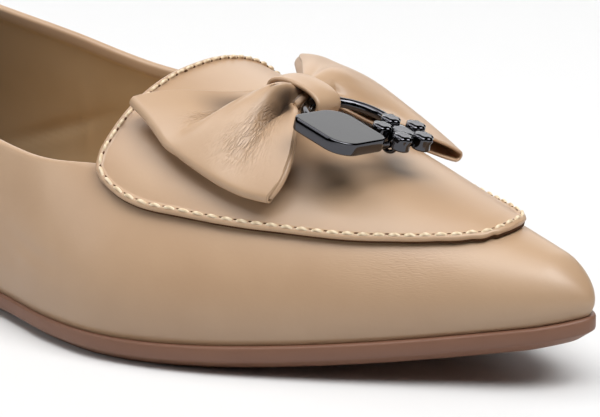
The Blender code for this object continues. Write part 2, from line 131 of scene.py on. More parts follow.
OUTLINE = Table(
    ("station", "medial", "lateral"),
    (
        (0.0, 27.0, 27.0), (30.0, 27.5, 27.5), (60.0, 25.5, 27.5), (92.0, 24.0, 29.0), (120.0, 26.6, 34.0),
        (145.0, 32.7, 39.0), (160.0, 38.0, 40.0), (172.0, 40.0, 39.0), (184.0, 38.6, 36.3),
        (196.0, 35.0, 32.4), (210.0, 29.0, 26.8), (226.0, 21.3, 19.6), (242.0, 13.0, 12.2),
        (258.0, 5.2, 5.2),
    ),
)
RIDGE = Table(
    ("station", "height"),
    (
        (0.0, 84.0), (60.0, 84.0), (110.0, 68.0), (145.0, 55.5), (168.0, 45.7), (190.0, 40.6),
        (212.0, 35.0), (230.0, 30.1), (242.0, 26.8), (250.0, 24.4), (258.0, 21.6),
    ),
)
TOPLINE = Table(
    ("station", "height"),
    (
        (0.0, 58.0), (25.0, 57.0), (55.0, 52.4), (85.0, 46.4), (115.0, 40.2), (136.0, 35.0), (148.0, 33.9),
        (168.0, 35.2),
    ),
)
APRON_EDGE = Table(
    ("share", "angle"),
    (
        (0.0, 46.0), (0.008, 42.0), (0.027, 39.4), (0.06, 37.5), (0.1, 36.0), (0.15, 35.0), (0.28, 35.4),
        (0.5, 37.6), (0.76, 44.5), (0.87, 52.0), (0.945, 61.0), (0.984, 71.0), (0.997, 81.0), (1.0, 90.0),
    ),
)


def ease(share: Any) -> np.ndarray:
    """Smooth step from 0 to 1."""
    share = np.clip(share, 0.0, 1.0)
    return share * share * (3 - 2 * share)


def bell(distance: Any, width: float) -> np.ndarray:
    """Soft hump of height 1 that fades over a width."""
    return np.exp(-((np.asarray(distance, float) / width) ** 2))


@dataclass(frozen=True)
class Ramp:
    """Smooth step from 0 at a start to 1 a length later; a negative length runs the other way."""

    start: float
    length: float

    def at(self, value: Any) -> np.ndarray:
        """Height of the step at a value."""
        return ease((value - self.start) / self.length)


def closing(start: float, end: float, count: int) -> np.ndarray:
    """Stations from start to end that close up towards the end, where the form is round."""
    return end - (end - start) * (1 - np.arange(count + 1) / count) ** 2


def turns(count: int) -> np.ndarray:
    """Angles of even steps once round."""
    return FULL_TURN * np.arange(count) / count


def unit(vectors: np.ndarray) -> np.ndarray:
    """The vectors of the last axis, each made one long."""
    return vectors / np.maximum(np.linalg.norm(vectors, axis=-1, keepdims=True), TINY)


def nearest(line: np.ndarray, points: np.ndarray, chunk: int = 2000) -> np.ndarray:
    """Distance from each point to the nearest place on a closed line.

    Args:
        line: points of the line, in order.
        points: points to measure.
        chunk: points measured at a time, to spare memory.

    Returns:
        One distance for each point.
    """
    step = np.roll(line, -1, 0) - line
    length = np.maximum(np.sum(step**2, axis=1), TINY)
    found = []
    for k in range(0, len(points), chunk):
        offset = points[k:k + chunk, None, :] - line
        share = np.clip(np.sum(offset * step, axis=2) / length, 0.0, 1.0)
        found.append(np.linalg.norm(offset - share[..., None] * step, axis=2).min(axis=1))
    return np.concatenate(found)


def grid_faces(rows: int, columns: int, wrap: bool, flip: bool) -> np.ndarray:
    """Quads of a grid of points that is stored row by row.

    Args:
        rows: number of rows of points.
        columns: number of points in a row.
        wrap: joins the last column to the first.
        flip: turns the quads over.

    Returns:
        Point numbers, four for each quad.
    """
    row, column = np.meshgrid(np.arange(rows - 1), np.arange(columns if wrap else columns - 1), indexing="ij")
    here, after = row * columns + column, row * columns + (column + 1) % columns
    quads = np.stack([here, after, after + columns, here + columns], -1).reshape(-1, 4)
    return quads[:, ::-1] if flip else quads


@dataclass
class Sheet:
    """Surface of quads in last millimetres, with a part for each face and named values for each point."""

    points: np.ndarray
    faces: np.ndarray
    parts: Optional[np.ndarray] = None
    traits: dict[str, np.ndarray] = field(default_factory=dict)

    def __post_init__(self) -> None:
        """Marks every face as outer where no parts are given."""
        if self.parts is None:
            self.parts = np.full(len(self.faces), Face.OUTER.value)

    @staticmethod
    def grid(points: np.ndarray, wrap: bool = False, flip: bool = False, **traits: Any) -> "Sheet":
        """Sheet over rows of points.

        Args:
            points: places by row and column.
            wrap: joins the last column to the first.
            flip: turns the quads over.
            traits: values that spread over the rows and columns, by name.

        Returns:
            The sheet.
        """
        shape = points.shape[:2]
        spread = {name: np.broadcast_to(values, shape).reshape(-1) for name, values in traits.items()}
        return Sheet(points.reshape(-1, 3), grid_faces(*shape, wrap, flip), traits=spread)

    @staticmethod
    def joined(sheets: Sequence["Sheet"]) -> "Sheet":
        """One sheet from several.

        Args:
            sheets: the sheets to join.

        Returns:
            A sheet with the traits that all of them have.
        """
        starts = np.cumsum([0] + [len(s.points) for s in sheets[:-1]])
        shared = [name for name in sheets[0].traits if all(name in s.traits for s in sheets)]
        return Sheet(
            np.concatenate([s.points for s in sheets]),
            np.concatenate([s.faces + start for s, start in zip(sheets, starts)]),
            np.concatenate([s.parts for s in sheets]),
            {name: np.concatenate([s.traits[name] for s in sheets]) for name in shared},
        )

    def merged(self) -> "Sheet":
        """Makes points that coincide one.

        Returns:
            The same surface with fewer points.
        """
        keys = np.round(self.points / WELD).astype(np.int64)
        _, first, where = np.unique(keys, axis=0, return_index=True, return_inverse=True)
        traits = {name: values[first] for name, values in self.traits.items()}
        return Sheet(self.points[first], where.reshape(-1)[self.faces], self.parts, traits)

    def normals(self) -> np.ndarray:
        """Adds up the normals of the faces round each point.

        Returns:
            Unit normal at each point.
        """
        corner = self.points[self.faces]
        face = np.cross(corner[:, 2] - corner[:, 0], corner[:, 3] - corner[:, 1])
        total = np.zeros_like(self.points)
        for numbers in self.faces.T:
            np.add.at(total, numbers, face)
        return unit(total)

    def borders(self) -> list[np.ndarray]:
        """Follows the edges that only one face has.

        Returns:
            Open borders as loops of point numbers, with the surface on their left.
        """
        edges = set()
        for start, end in zip(self.faces.T, np.roll(self.faces, -1, 1).T):
            edges.update(zip(start.tolist(), end.tolist()))
        after = {a: b for a, b in edges if a != b and (b, a) not in edges}
        loops = []
        while after:
            start, here = next(iter(after.items()))
            loop = [start]
            del after[start]
            while here != start:
                loop.append(here)
                here = after.pop(here)
            loops.append(np.array(loop))
        return loops

    def border_out(self, loop: np.ndarray, normals: np.ndarray, blur: int = 3) -> np.ndarray:
        """Directions that lead off the surface across a border, blurred along it.

        Args:
            loop: point numbers of the border.
            normals: unit normal at each point of the sheet.
            blur: points on each side that are averaged in.

        Returns:
            One unit direction for each point of the loop.
        """
        places = self.points[loop]
        along = np.roll(places, -1, 0) - np.roll(places, 1, 0)
        out = unit(np.cross(along, normals[loop]))
        return unit(sum(np.roll(out, k, 0) for k in range(-blur, blur + 1)))

    def shell(
        self,
        wall: float,
        rise: Callable[[np.ndarray], float],
        rows: int = 6,
        skirt: float = 0.0,
        inside: Optional[np.ndarray] = None,
    ) -> "Sheet":
        """Closed wall with this surface outside, its copy inside and a round rim on each border.

        Args:
            wall: thickness.
            rise: gives from a border's points how far its rim stands out; 0 is a flat rim.
            rows: steps round a rim.
            skirt: how far the rim's foot stands out beyond its roundest place; 0 has no foot.
            inside: extra thickness at each point, which swells the inner surface.

        Returns:
            The closed wall, with its faces' parts set.
        """
        normals = self.normals()
        count = len(self.points)
        inner = self.points - (wall if inside is None else wall + inside[:, None]) * normals
        points, faces = [self.points, inner], [self.faces, self.faces[:, ::-1] + count]
        parts = [np.full(len(self.faces), p.value) for p in (Face.OUTER, Face.INNER)]
        traits = {name: [values, values] for name, values in self.traits.items()}
        total = 2 * count
        for loop in self.borders():
            height = rise(self.points[loop])
            steps = rows if height else 1
            out = self.border_out(loop, normals)
            middle = self.points[loop] - wall / 2 * normals[loop]
            numbers = [loop]
            for k in range(1, steps):
                turn = HALF_TURN * k / steps
                reach = height * math.sin(turn)
                if skirt and turn > QUARTER_TURN:
                    reach = height + skirt * (2 * k / steps - 1)
                points.append(middle + wall / 2 * math.cos(turn) * normals[loop] + reach * out)
                numbers.append(total + np.arange(len(loop)))
                total += len(loop)
                for name, values in self.traits.items():
                    traits[name].append(values[loop])
            numbers.append(loop + count)
            for k, (low, high) in enumerate(zip(numbers, numbers[1:])):
                faces.append(np.stack([np.roll(low, -1), low, high, np.roll(high, -1)], -1))
                part = Face.RIM if 2 * k < steps else Face.UNDER
                parts.append(np.full(len(loop), part.value))
        joined = {name: np.concatenate(values) for name, values in traits.items()}
        return Sheet(np.concatenate(points), np.concatenate(faces), np.concatenate(parts), joined)


@dataclass(frozen=True)
class Last:
    """Form of the foot that the shoe is made over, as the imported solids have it."""

    length: float = 258.0
    heel_round: float = 30.0
    heel_squareness: float = 2.2
    toe_round: float = 8.0
    sole_thickness: float = 5.0
    heel_seat: float = 11.0
    heel_breast: float = 58.0
    breast_slope: float = 1.5
    shank_lift: float = 3.0
    tread_start: float = 136.0
    tread_end: float = 176.0
    spring: float = 9.2
    spring_power: float = 1.8
    seat_start: float = 52.0
    seat_end: float = 146.0
    upper_inset: float = 0.8
    side_bulge: float = 1.2
    bulge_height: float = 8.0
    bulge_fade: float = 10.0
    heel_spine: float = 34.0
    section_power: float = 2.3
    toe_cap_round: float = 8.5
    nose: float = 1.4
    nose_height: float = 5.0
    nose_length: float = 24.0
    throat: float = 169.0

    def half_width(self, x: Any, side: Any) -> np.ndarray:
        """Half width of the sole's outline.

        Args:
            x: stations.
            side: -1 for the medial and 1 for the lateral side.

        Returns:
            Distances from the middle line.
        """
        width = np.where(np.asarray(side) < 0, OUTLINE.curve("medial", x), OUTLINE.curve("lateral", x))
        behind = np.clip((self.heel_round - x) / self.heel_round, 0.0, 1.0)
        ahead = np.clip((x - self.length + self.toe_round) / self.toe_round, 0.0, 1.0)
        heel_cap = (1 - behind**self.heel_squareness) ** (1 / self.heel_squareness)
        return width * heel_cap * np.sqrt(1 - ahead**2)

    def toe_spring(self, x: Any) -> np.ndarray:
        """Rise of the sole towards the toe."""
        share = np.clip((x - self.tread_end) / (self.length - self.tread_end), 0.0, 1.0)
        return self.spring * share**self.spring_power

    def tread(self, x: Any) -> np.ndarray:
        """Height of the sole's underside: flat heel, raised shank, flat forefoot and toe spring.

        Args:
            x: stations.

        Returns:
            Heights over the floor.
        """
        breast = np.clip((x - self.heel_breast) / self.breast_slope, 0.0, 1.0)
        shank = 1 - ease((x - self.heel_breast) / (self.tread_start - self.heel_breast))
        return self.shank_lift * breast * shank + self.toe_spring(x)

    def feather(self, x: Any) -> np.ndarray:
        """Height of the sole's top edge, where the upper meets it."""
        seat = 1 - ease((x - self.seat_start) / (self.seat_end - self.seat_start))
        return self.sole_thickness + (self.heel_seat - self.sole_thickness) * seat + self.toe_spring(x)

    def ridge_rise(self, x: Any) -> np.ndarray:
        """Height of the last's ridge above the feather line, rounded off at the toe."""
        ahead = np.clip((x - self.length + self.toe_cap_round) / self.toe_cap_round, 0.0, 1.0)
        return (RIDGE.curve("height", x) - self.feather(x)) * np.sqrt(1 - ahead**2)

    def point(self, x: Any, side: Any, angle: Any) -> np.ndarray:
        """Points on the upper.

        Args:
            x: stations.
            side: -1 for the medial and 1 for the lateral side.
            angle: place round the section; 0 is the feather line and a quarter turn the ridge.

        Returns:
            Points in the last axis.
        """
        x, side, angle = np.broadcast_arrays(*[np.asarray(value, float) for value in (x, side, angle)])
        foot_x = self.upper_inset + x * (1 - 2 * self.upper_inset / self.length)
        foot_y = side * np.maximum(self.half_width(x, side) - self.upper_inset, 0.0)
        spine = np.maximum(foot_x, self.heel_spine)
        across = np.hypot(foot_x - spine, foot_y)
        pointed = across > WELD
        out_x = np.where(pointed, (foot_x - spine) / np.maximum(across, WELD), 1.0)
        out_y = np.where(pointed, foot_y / np.maximum(across, WELD), 0.0)
        cos_share = np.clip(np.cos(angle), 0.0, None) ** (2 / self.section_power)
        sin_share = np.clip(np.sin(angle), 0.0, None) ** (2 / self.section_power)
        rise = self.ridge_rise(x) * sin_share
        height = rise / self.bulge_height
        bulge = self.side_bulge * np.minimum(across / self.bulge_fade, 1.0) * height * np.exp(1 - height)
        reach = (across + bulge) * cos_share
        tall = rise / self.nose_height
        towards_tip = ease((x - self.length + self.nose_length) / self.nose_length)
        nose = self.nose * towards_tip * tall * np.exp(1 - tall)
        return np.stack([spine + out_x * reach + nose, out_y * reach, self.feather(x) + FIT_GAP + rise], -1)

    def topline_angle(self, x: Any, below: float = 0.0) -> np.ndarray:
        """Section angle at which the collar is cut, or a little below it."""
        share = (TOPLINE.curve("height", x) - below - self.feather(x) - FIT_GAP) / self.ridge_rise(x)
        return np.arcsin(np.minimum(share, 1.0) ** (self.section_power / 2))


LAST = Last()


def linear(code: str) -> tuple[float, float, float, float]:
    """Linear colour with full alpha from an sRGB hex code."""
    parts = [int(code[k:k + 2], 16) / 255 for k in (1, 3, 5)]
    return (*[p / 12.92 if p <= 0.04045 else ((p + 0.055) / 1.055) ** 2.4 for p in parts], 1.0)


def add_node(
    tree: bpy.types.NodeTree, kind: str, inputs: Optional[dict] = None, **settings: Any
) -> bpy.types.Node:
    """Adds a node with its settings, values and links.

    Args:
        tree: tree that the node goes in.
        kind: Blender's name for the node.
        inputs: value, or output socket to link, for each input by name or number.
        settings: properties of the node.

    Returns:
        The node.
    """
    made = tree.nodes.new(kind)
    for name, value in settings.items():
        setattr(made, name, value)
    for name, value in (inputs or {}).items():
        if isinstance(value, bpy.types.NodeSocket):
            tree.links.new(value, made.inputs[name])
        else:
            made.inputs[name].default_value = value
    return made


def per_metre(size_mm: float) -> float:
    """Texture scale that makes one cell this many millimetres wide."""
    return 1.0 / (size_mm * MM)


def start_material(
    name: str, values: dict[str, Any]
) -> tuple[bpy.types.Material, bpy.types.NodeTree, bpy.types.Node]:
    """New material with constants on its Principled shader.

    Args:
        name: name of the material.
        values: the shader's constants, by socket.

    Returns:
        The material, its tree and its shader.
    """
    material = bpy.data.materials.new(name)
    material.use_nodes = True
    tree = material.node_tree
    shader = tree.nodes["Principled BSDF"]
    for socket, value in values.items():
        shader.inputs[socket].default_value = value
    return material, tree, shader


@dataclass(frozen=True)
class Leather:
    """Finished leather: faint mottling and pores, fine wrinkles where it is gathered, and painted shade laid
    into its colour in the wrinkles and where its fold trait is set.

    Pores and the finest wrinkles are drawn coarser than the real ones of about 0.2 mm, which would not show.
    """

    name: str
    colour: str
    shade: str
    roughness: float = 0.56
    gloss: float = 0.9
    coat: float = 0.12
    coat_roughness: float = 0.3
    patch_mm: float = 22.0
    pore_mm: float = 0.75
    pore_depth_mm: float = 0.012
    # Colour of the painted shade in the wrinkles' troughs
    crease: str = "#8A6847"
    # Colour of the painted shade that the fold trait mixes in
    painted_shade: str = "#3A2716"
    wrinkle_run_mm: float = 1.7
    wrinkle_mm: float = 0.36
    wrinkle_depth_mm: float = 0.2

    def make(self) -> bpy.types.Material:
        """Builds the material.

        Returns:
            The material.
        """
        constants = {
            "Roughness": self.roughness,
            "Specular IOR Level": self.gloss,
            "Coat Weight": self.coat,
            "Coat Roughness": self.coat_roughness,
        }
        material, tree, shader = start_material(self.name, constants)
        place = add_node(tree, "ShaderNodeTexCoord").outputs["Object"]
        run, cross, gather, fold = [
            add_node(tree, "ShaderNodeAttribute", attribute_name=trait).outputs["Fac"] for trait in TRAITS
        ]
        sizes = {"Vector": place, "Scale": per_metre(self.patch_mm), "Detail": 3.0}
        patch = add_node(tree, "ShaderNodeTexNoise", sizes).outputs["Fac"]
        tone = add_node(tree, "ShaderNodeMapRange", {"Value": patch, "From Min": 0.35, "From Max": 0.7})
        cells = {"Vector": place, "Scale": per_metre(self.pore_mm)}
        pore = add_node(tree, "ShaderNodeTexVoronoi", cells, feature="F1").outputs["Distance"]
        relief = {"Height": pore, "Strength": 0.6, "Distance": self.pore_depth_mm * MM}
        fine = add_node(tree, "ShaderNodeBump", relief).outputs["Normal"]
        along = add_node(tree, "ShaderNodeMath", {0: run, 1: 1 / self.wrinkle_run_mm}, operation="MULTIPLY")
        around = add_node(tree, "ShaderNodeMath", {0: cross, 1: 1 / self.wrinkle_mm}, operation="MULTIPLY")
        grid = add_node(tree, "ShaderNodeCombineXYZ", {"X": along.outputs[0], "Y": around.outputs[0]})
        cells = {"Vector": grid.outputs["Vector"], "Scale": 1.0}
        crackle = add_node(tree, "ShaderNodeTexVoronoi", cells, feature="DISTANCE_TO_EDGE")
        lines = {"Value": crackle.outputs["Distance"], "From Max": 0.24, "To Min": 1.0, "To Max": 0.0}
        sharp = add_node(tree, "ShaderNodeMapRange", lines).outputs["Result"]
        depth = add_node(tree, "ShaderNodeMath", {0: sharp, 1: gather}, operation="MULTIPLY").outputs[0]
        # Painted shade: the deepest wrinkle troughs darken towards the crease colour
        deep = {"Value": depth, "From Min": 0.4, "From Max": 1.0, "To Max": 0.35}
        dark = add_node(tree, "ShaderNodeMapRange", deep).outputs["Result"]
        # Mottled tone, then painted shade: darker in the wrinkles' troughs, and darker again where the fold
        # trait is set
        colour = linear(self.colour)
        for share, over in ((tone.outputs["Result"], self.shade), (dark, self.crease), (fold, self.painted_shade)):
            layers = {0: share, 6: colour, 7: linear(over)}
            colour = add_node(tree, "ShaderNodeMix", layers, data_type="RGBA").outputs[2]
        tree.links.new(colour, shader.inputs["Base Color"])
        relief = {"Height": depth, "Strength": 1.0, "Distance": self.wrinkle_depth_mm * MM, "Normal": fine}
        wrinkles = add_node(tree, "ShaderNodeBump", relief, invert=True)
        tree.links.new(wrinkles.outputs["Normal"], shader.inputs["Normal"])
        return material


@dataclass(frozen=True)
class Rubber:
    """Moulded sole rubber: even and satin, with a cloudy bloom and a grit that is drawn coarser, to show."""

    name: str
    colour: str
    shade: str
    roughness: float = 0.5
    bloom_mm: float = 9.0
    grit_mm: float = 0.5
    grit_depth_mm: float = 0.01

    def make(self) -> bpy.types.Material:
        """Builds the material.

        Returns:
            The material.
        """
        material, tree, shader = start_material(self.name, {"Roughness": self.roughness})
        place = add_node(tree, "ShaderNodeTexCoord").outputs["Object"]
        sizes = {"Vector": place, "Scale": per_metre(self.bloom_mm), "Detail": 2.0}
        bloom = add_node(tree, "ShaderNodeTexNoise", sizes).outputs["Fac"]
        layers = {0: bloom, 6: linear(self.colour), 7: linear(self.shade)}
        blend = add_node(tree, "ShaderNodeMix", layers, data_type="RGBA")
        tree.links.new(blend.outputs[2], shader.inputs["Base Color"])
        grit = add_node(tree, "ShaderNodeTexNoise", {"Vector": place, "Scale": per_metre(self.grit_mm)})
        relief = {"Height": grit.outputs["Fac"], "Strength": 0.5, "Distance": self.grit_depth_mm * MM}
        bump = add_node(tree, "ShaderNodeBump", relief)
        tree.links.new(bump.outputs["Normal"], shader.inputs["Normal"])
        return material


@dataclass(frozen=True)
class Metal:
    """Dark plated zinc casting, polished or left satin, with the slight waviness that polishing leaves."""

    name: str
    colour: str
    roughness: float
    wave_mm: float = 2.5
    wave_depth_mm: float = 0.02

    def make(self) -> bpy.types.Material:
        """Builds the material.

        Returns:
            The material.
        """
        constants = {"Base Color": linear(self.colour), "Metallic": 1.0, "Roughness": self.roughness}
        material, tree, shader = start_material(self.name, constants)
        place = add_node(tree, "ShaderNodeTexCoord").outputs["Object"]
        sizes = {"Vector": place, "Scale": per_metre(self.wave_mm), "Detail": 2.0}
        wave = add_node(tree, "ShaderNodeTexNoise", sizes).outputs["Fac"]
        relief = {"Height": wave, "Strength": 0.4, "Distance": self.wave_depth_mm * MM}
        bump = add_node(tree, "ShaderNodeBump", relief)
        tree.links.new(bump.outputs["Normal"], shader.inputs["Normal"])
        return material


@dataclass(frozen=True)
class Thread:
    """Bonded polyester sewing thread: matt, with a twist that is drawn coarser than it is, to show."""

    name: str
    colour: str
    shade: str
    roughness: float = 0.7
    twist_mm: float = 0.45

    def make(self) -> bpy.types.Material:
        """Builds the material.

        Returns:
            The material.
        """
        material, tree, shader = start_material(self.name, {"Roughness": self.roughness})
        place = add_node(tree, "ShaderNodeTexCoord").outputs["Object"]
        waves = {"Vector": place, "Scale": per_metre(self.twist_mm) / FULL_TURN, "Distortion": 2.0}
        twist = add_node(tree, "ShaderNodeTexWave", waves, bands_direction="DIAGONAL").outputs["Fac"]
        layers = {0: twist, 6: linear(self.shade), 7: linear(self.colour)}
        blend = add_node(tree, "ShaderNodeMix", layers, data_type="RGBA")
        tree.links.new(blend.outputs[2], shader.inputs["Base Color"])
        return material


@dataclass(frozen=True)
class Finishes:
    """Every material of the shoe, made once."""

    tan: bpy.types.Material
    lining: bpy.types.Material
    rubber: bpy.types.Material
    gunmetal: bpy.types.Material
    satin: bpy.types.Material
    thread: bpy.types.Material
    # Painted shadow under the apron's edge and in its needle holes
    edge: bpy.types.Material

    @staticmethod
    def make() -> "Finishes":
        """Makes the materials in the photograph's colours.

        Returns:
            The materials.
        """
        matt = {"roughness": 0.7, "gloss": 0.4, "coat": 0.0}
        dull = {"roughness": 0.9, "gloss": 0.2, "coat": 0.0}
        return Finishes(
            # Calf with a waxed finish: a warm tan with wide, soft highlights
            tan=Leather("tan_calf_leather", "#B49372", "#AC8A69", coat=0.35).make(),
            # Unfinished lining leather: matt and pale by the collar; its dark brown deep inside is painted
            # shade
            lining=Leather("brown_lining_leather", "#C6AA86", "#BA9E78", **matt).make(),
            # Moulded rubber: an even rose brown with a satin sheen
            rubber=Rubber("rose_brown_sole_rubber", "#7C5743", "#724E3C").make(),
            # Polished plating: dark and mirror sharp
            gunmetal=Metal("polished_gunmetal_plate", "#4E4E52", 0.1).make(),
            # Satin plating: a lighter grey that spreads its highlights
            satin=Metal("satin_gunmetal_plate", "#747475", 0.5).make(),
            # Polyester thread: pale and matt against the leather
            thread=Thread("cream_polyester_thread", "#E9D7BA", "#CFB896").make(),
            # Painted shadow: a dark, dull line round the apron, for the shade under its rim
            edge=Leather("apron_edge_painted_shadow", "#462C18", "#523721", **dull).make(),
        )


def to_part(points: np.ndarray) -> np.ndarray:
    """Points in metres in the part's frame, from last millimetres."""
    return (points - (LAST.length / 2, 0.0, 0.0)) * MM


def add_object(name: str, data: Optional[bpy.types.ID]) -> bpy.types.Object:
    """New object with its data, linked to the scene.

    Args:
        name: name of the object.
        data: its mesh, light or camera.

    Returns:
        The object.
    """
    made = bpy.data.objects.new(name, data)
    bpy.context.scene.collection.objects.link(made)
    return made


def to_object(name: str, sheet: Sheet, materials: Sequence[bpy.types.Material]) -> bpy.types.Object:
    """Mesh object in the part's frame from a sheet, whose parts choose among the materials.

    Args:
        name: name of the piece.
        sheet: closed surface in last millimetres.
        materials: one for each number in the sheet's parts.

    Returns:
        The object, linked to the scene.
    """
    faces, parts = [], []
    for numbers, part in zip(sheet.faces.tolist(), sheet.parts.tolist()):
        corners = tuple(dict.fromkeys(numbers))
        if len(corners) > 2:
            faces.append(corners)
            parts.append(part)
    mesh = bpy.data.meshes.new(name)
    mesh.from_pydata(to_part(sheet.points), [], faces)
    for material in materials:
        mesh.materials.append(material)
    mesh.polygons.foreach_set("material_index", parts)
    for trait, values in sheet.traits.items():
        mesh.attributes.new(trait, "FLOAT", "POINT").data.foreach_set("value", values.astype(np.float32))
    mesh.shade_smooth()
    mesh.update()
    return add_object(name, mesh)


def mount(piece: bpy.types.Object, body: Body, node: Optional[str] = None) -> bpy.types.Object:
    """Rides a piece on its body, hides the solid that it stands for, and reports it.

    Args:
        piece: the piece.
        body: body that it moves with.
        node: solid that it takes the place of, where there is one.

    Returns:
        The piece.
    """
    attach(piece, body.value)
    if node:
        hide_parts(node)
    LOG.info("%s: %d faces on %s", piece.name, len(piece.data.polygons), body.value)
    return piece


@dataclass(frozen=True)
class Crease:
    """Soft trough, or ridge where depth is negative, on one side of the upper."""

    side: Side
    x: float
    z: float
    run: float
    width: float
    depth: float
    slope: float = 0.0
    side_fade: float = 8.0

    def relief(self, points: np.ndarray) -> np.ndarray:
        """How far the crease moves each point out of the surface.

        Args:
            points: places on the upper.

        Returns:
            One distance for each point.
        """
        turn = math.radians(self.slope)
        ahead, up = points[:, 0] - self.x, points[:, 2] - self.z
        along = ahead * math.cos(turn) + up * math.sin(turn)
        over = up * math.cos(turn) - ahead * math.sin(turn)
        on_side = ease(0.5 + points[:, 1] * self.side.value / self.side_fade)
        return -self.depth * bell(along, self.run) * bell(over, self.width) * on_side


@dataclass
class Upper:
    """Lasted upper: one hollow wall of leather and lining with a folded collar edge."""

    wall: float = 1.8
    rim: float = 0.7
    fold: float = 2.6
    wall_rows: int = 110
    heel_rows: int = 36
    arch_rows: int = 96
    wall_levels: int = 34
    arch_levels: int = 26
    creases: tuple[Crease, ...] = (
        Crease(Side.MEDIAL, 155.5, 17.0, 9.0, 1.7, 0.30, -8.0),
        Crease(Side.MEDIAL, 149.0, 14.5, 6.0, 1.4, 0.18, -16.0),
        Crease(Side.MEDIAL, 118.0, 26.0, 16.0, 5.0, 0.35, -18.0),
        Crease(Side.LATERAL, 152.0, 18.0, 9.0, 2.0, 0.30, 12.0),
        Crease(Side.LATERAL, 160.0, 15.5, 8.0, 1.8, 0.20, 16.0),
        Crease(Side.LATERAL, 120.0, 27.0, 16.0, 5.0, 0.30, -18.0),
    )
    lining_creases: tuple[Crease, ...] = (
        Crease(Side.LATERAL, 108.5, 17.0, 13.0, 1.5, 0.8, 22.0),
        Crease(Side.LATERAL, 116.2, 19.0, 9.0, 1.3, -0.7, 84.0),
        Crease(Side.LATERAL, 84.0, 30.0, 11.0, 2.0, 0.6, 30.0),
        Crease(Side.MEDIAL, 110.0, 22.0, 12.0, 1.8, 0.35, 20.0),
    )
    collar_roll: float = 0.45
    collar_above: float = 30.0
    foot_reach: float = 1.5
    wrinkle_patch: tuple[float, float, float, float] = (228.0, 22.5, 10.0, 5.0)
    wrinkle_strength: float = 0.12
    # Painted shade along the upper's foot, darker towards the sole
    foot_shade_strength: float = 0.165
    foot_fade: float = 17.0
    # Painted shade inside the shoe: the lining darkens towards the heel and fades out along the ramp
    lining_painted_shade: float = 0.82
    lining_shade_fade: Ramp = Ramp(76.0, 64.0)

    def sheet(self) -> Sheet:
        """Outer surface: two side walls round to the heel, and arches over the vamp.

        Returns:
            The surface, with its distance below the collar among its traits.
        """
        heel = LAST.heel_spine * (1 - np.arange(self.heel_rows + 1) / self.heel_rows) ** 2
        stations = np.concatenate([np.linspace(LAST.throat, LAST.heel_spine, self.wall_rows)[:-1], heel])
        shares = np.linspace(0.0, 1.0, self.wall_levels + 1)
        top = LAST.topline_angle(stations, self.rim)
        patches = []
        for side in Side:
            points = LAST.point(stations[:, None], side.value, shares[None, :] * top[:, None])
            below = (1 - shares) * (points[:, -1:, 2] - points[:, :1, 2])
            patches.append(Sheet.grid(points, flip=side is Side.LATERAL, below_edge=below))
        corner = float(LAST.topline_angle(LAST.throat, self.rim))
        over = corner + (QUARTER_TURN - corner) * np.linspace(0.0, 1.0, self.arch_levels + 1)[1:]
        half = np.concatenate([shares * corner, over])
        angles = np.concatenate([half, half[-2::-1]])
        sides = np.where(np.arange(len(angles)) < len(half), Side.MEDIAL.value, Side.LATERAL.value)
        arches = closing(LAST.throat, LAST.length, self.arch_rows)
        points = LAST.point(arches[:, None], sides[None, :], angles[None, :])
        patches.append(Sheet.grid(points, flip=True, below_edge=LAST.length))
        made = Sheet.joined(patches).merged()
        over_sole = made.points[:, 2] - LAST.feather(made.points[:, 0])
        made.points[:, 2] -= FIT_GAP * (1 - ease((over_sole - FIT_GAP) / self.foot_reach))
        normals = made.normals()
        for crease in self.creases:
            made.points = made.points + crease.relief(made.points)[:, None] * normals
        x, z, run, width = self.wrinkle_patch
        patch = bell(made.points[:, 0] - x, run) * bell(made.points[:, 2] - z, width)
        # Painted shade: the upper darkens towards the sole
        painted_foot_shade = self.foot_shade_strength * (1 - ease(over_sole / self.foot_fade))
        values = (made.points[:, 0], made.points[:, 2], self.wrinkle_strength * patch, painted_foot_shade)
        made.traits.update(zip(TRAITS, values))
        return made

    def inside(self, sheet: Sheet) -> np.ndarray:
        """Extra thickness on the inner side: the collar's folded roll, and the folds of the lining.

        Args:
            sheet: the outer surface.

        Returns:
            One thickness for each point.
        """
        half = self.fold / 2
        below = sheet.traits["below_edge"]
        roll = self.collar_roll * np.sqrt(np.clip(1 - ((below - half) / half) ** 2, 0.0, 1.0))
        return roll + sum(crease.relief(sheet.points) for crease in self.lining_creases)

    def build(self, finishes: Finishes) -> bpy.types.Object:
        """Makes the upper and puts it on the shoe.

        Args:
            finishes: materials of the shoe.

        Returns:
            The piece.
        """
        sheet = self.sheet()
        wall = sheet.shell(
            self.wall,
            lambda border: self.rim if border[:, 2].max() > self.collar_above else 0.0,
            inside=self.inside(sheet),
        )
        count = len(sheet.points)
        # Painted shade on the lining's inner faces, darkest deep towards the heel
        behind = 1 - self.lining_shade_fade.at(sheet.points[:, 0])
        wall.traits["fold"][count:2 * count] = self.lining_painted_shade * behind
        folded = wall.traits.pop("below_edge")[wall.faces].max(axis=1) < self.fold
        wall.parts = np.where((wall.parts == Face.INNER.value) & ~folded, 1, 0)
        piece = to_object("upper_leather", wall, (finishes.tan, finishes.lining))
        return mount(piece, Body.SHOE, "upper")


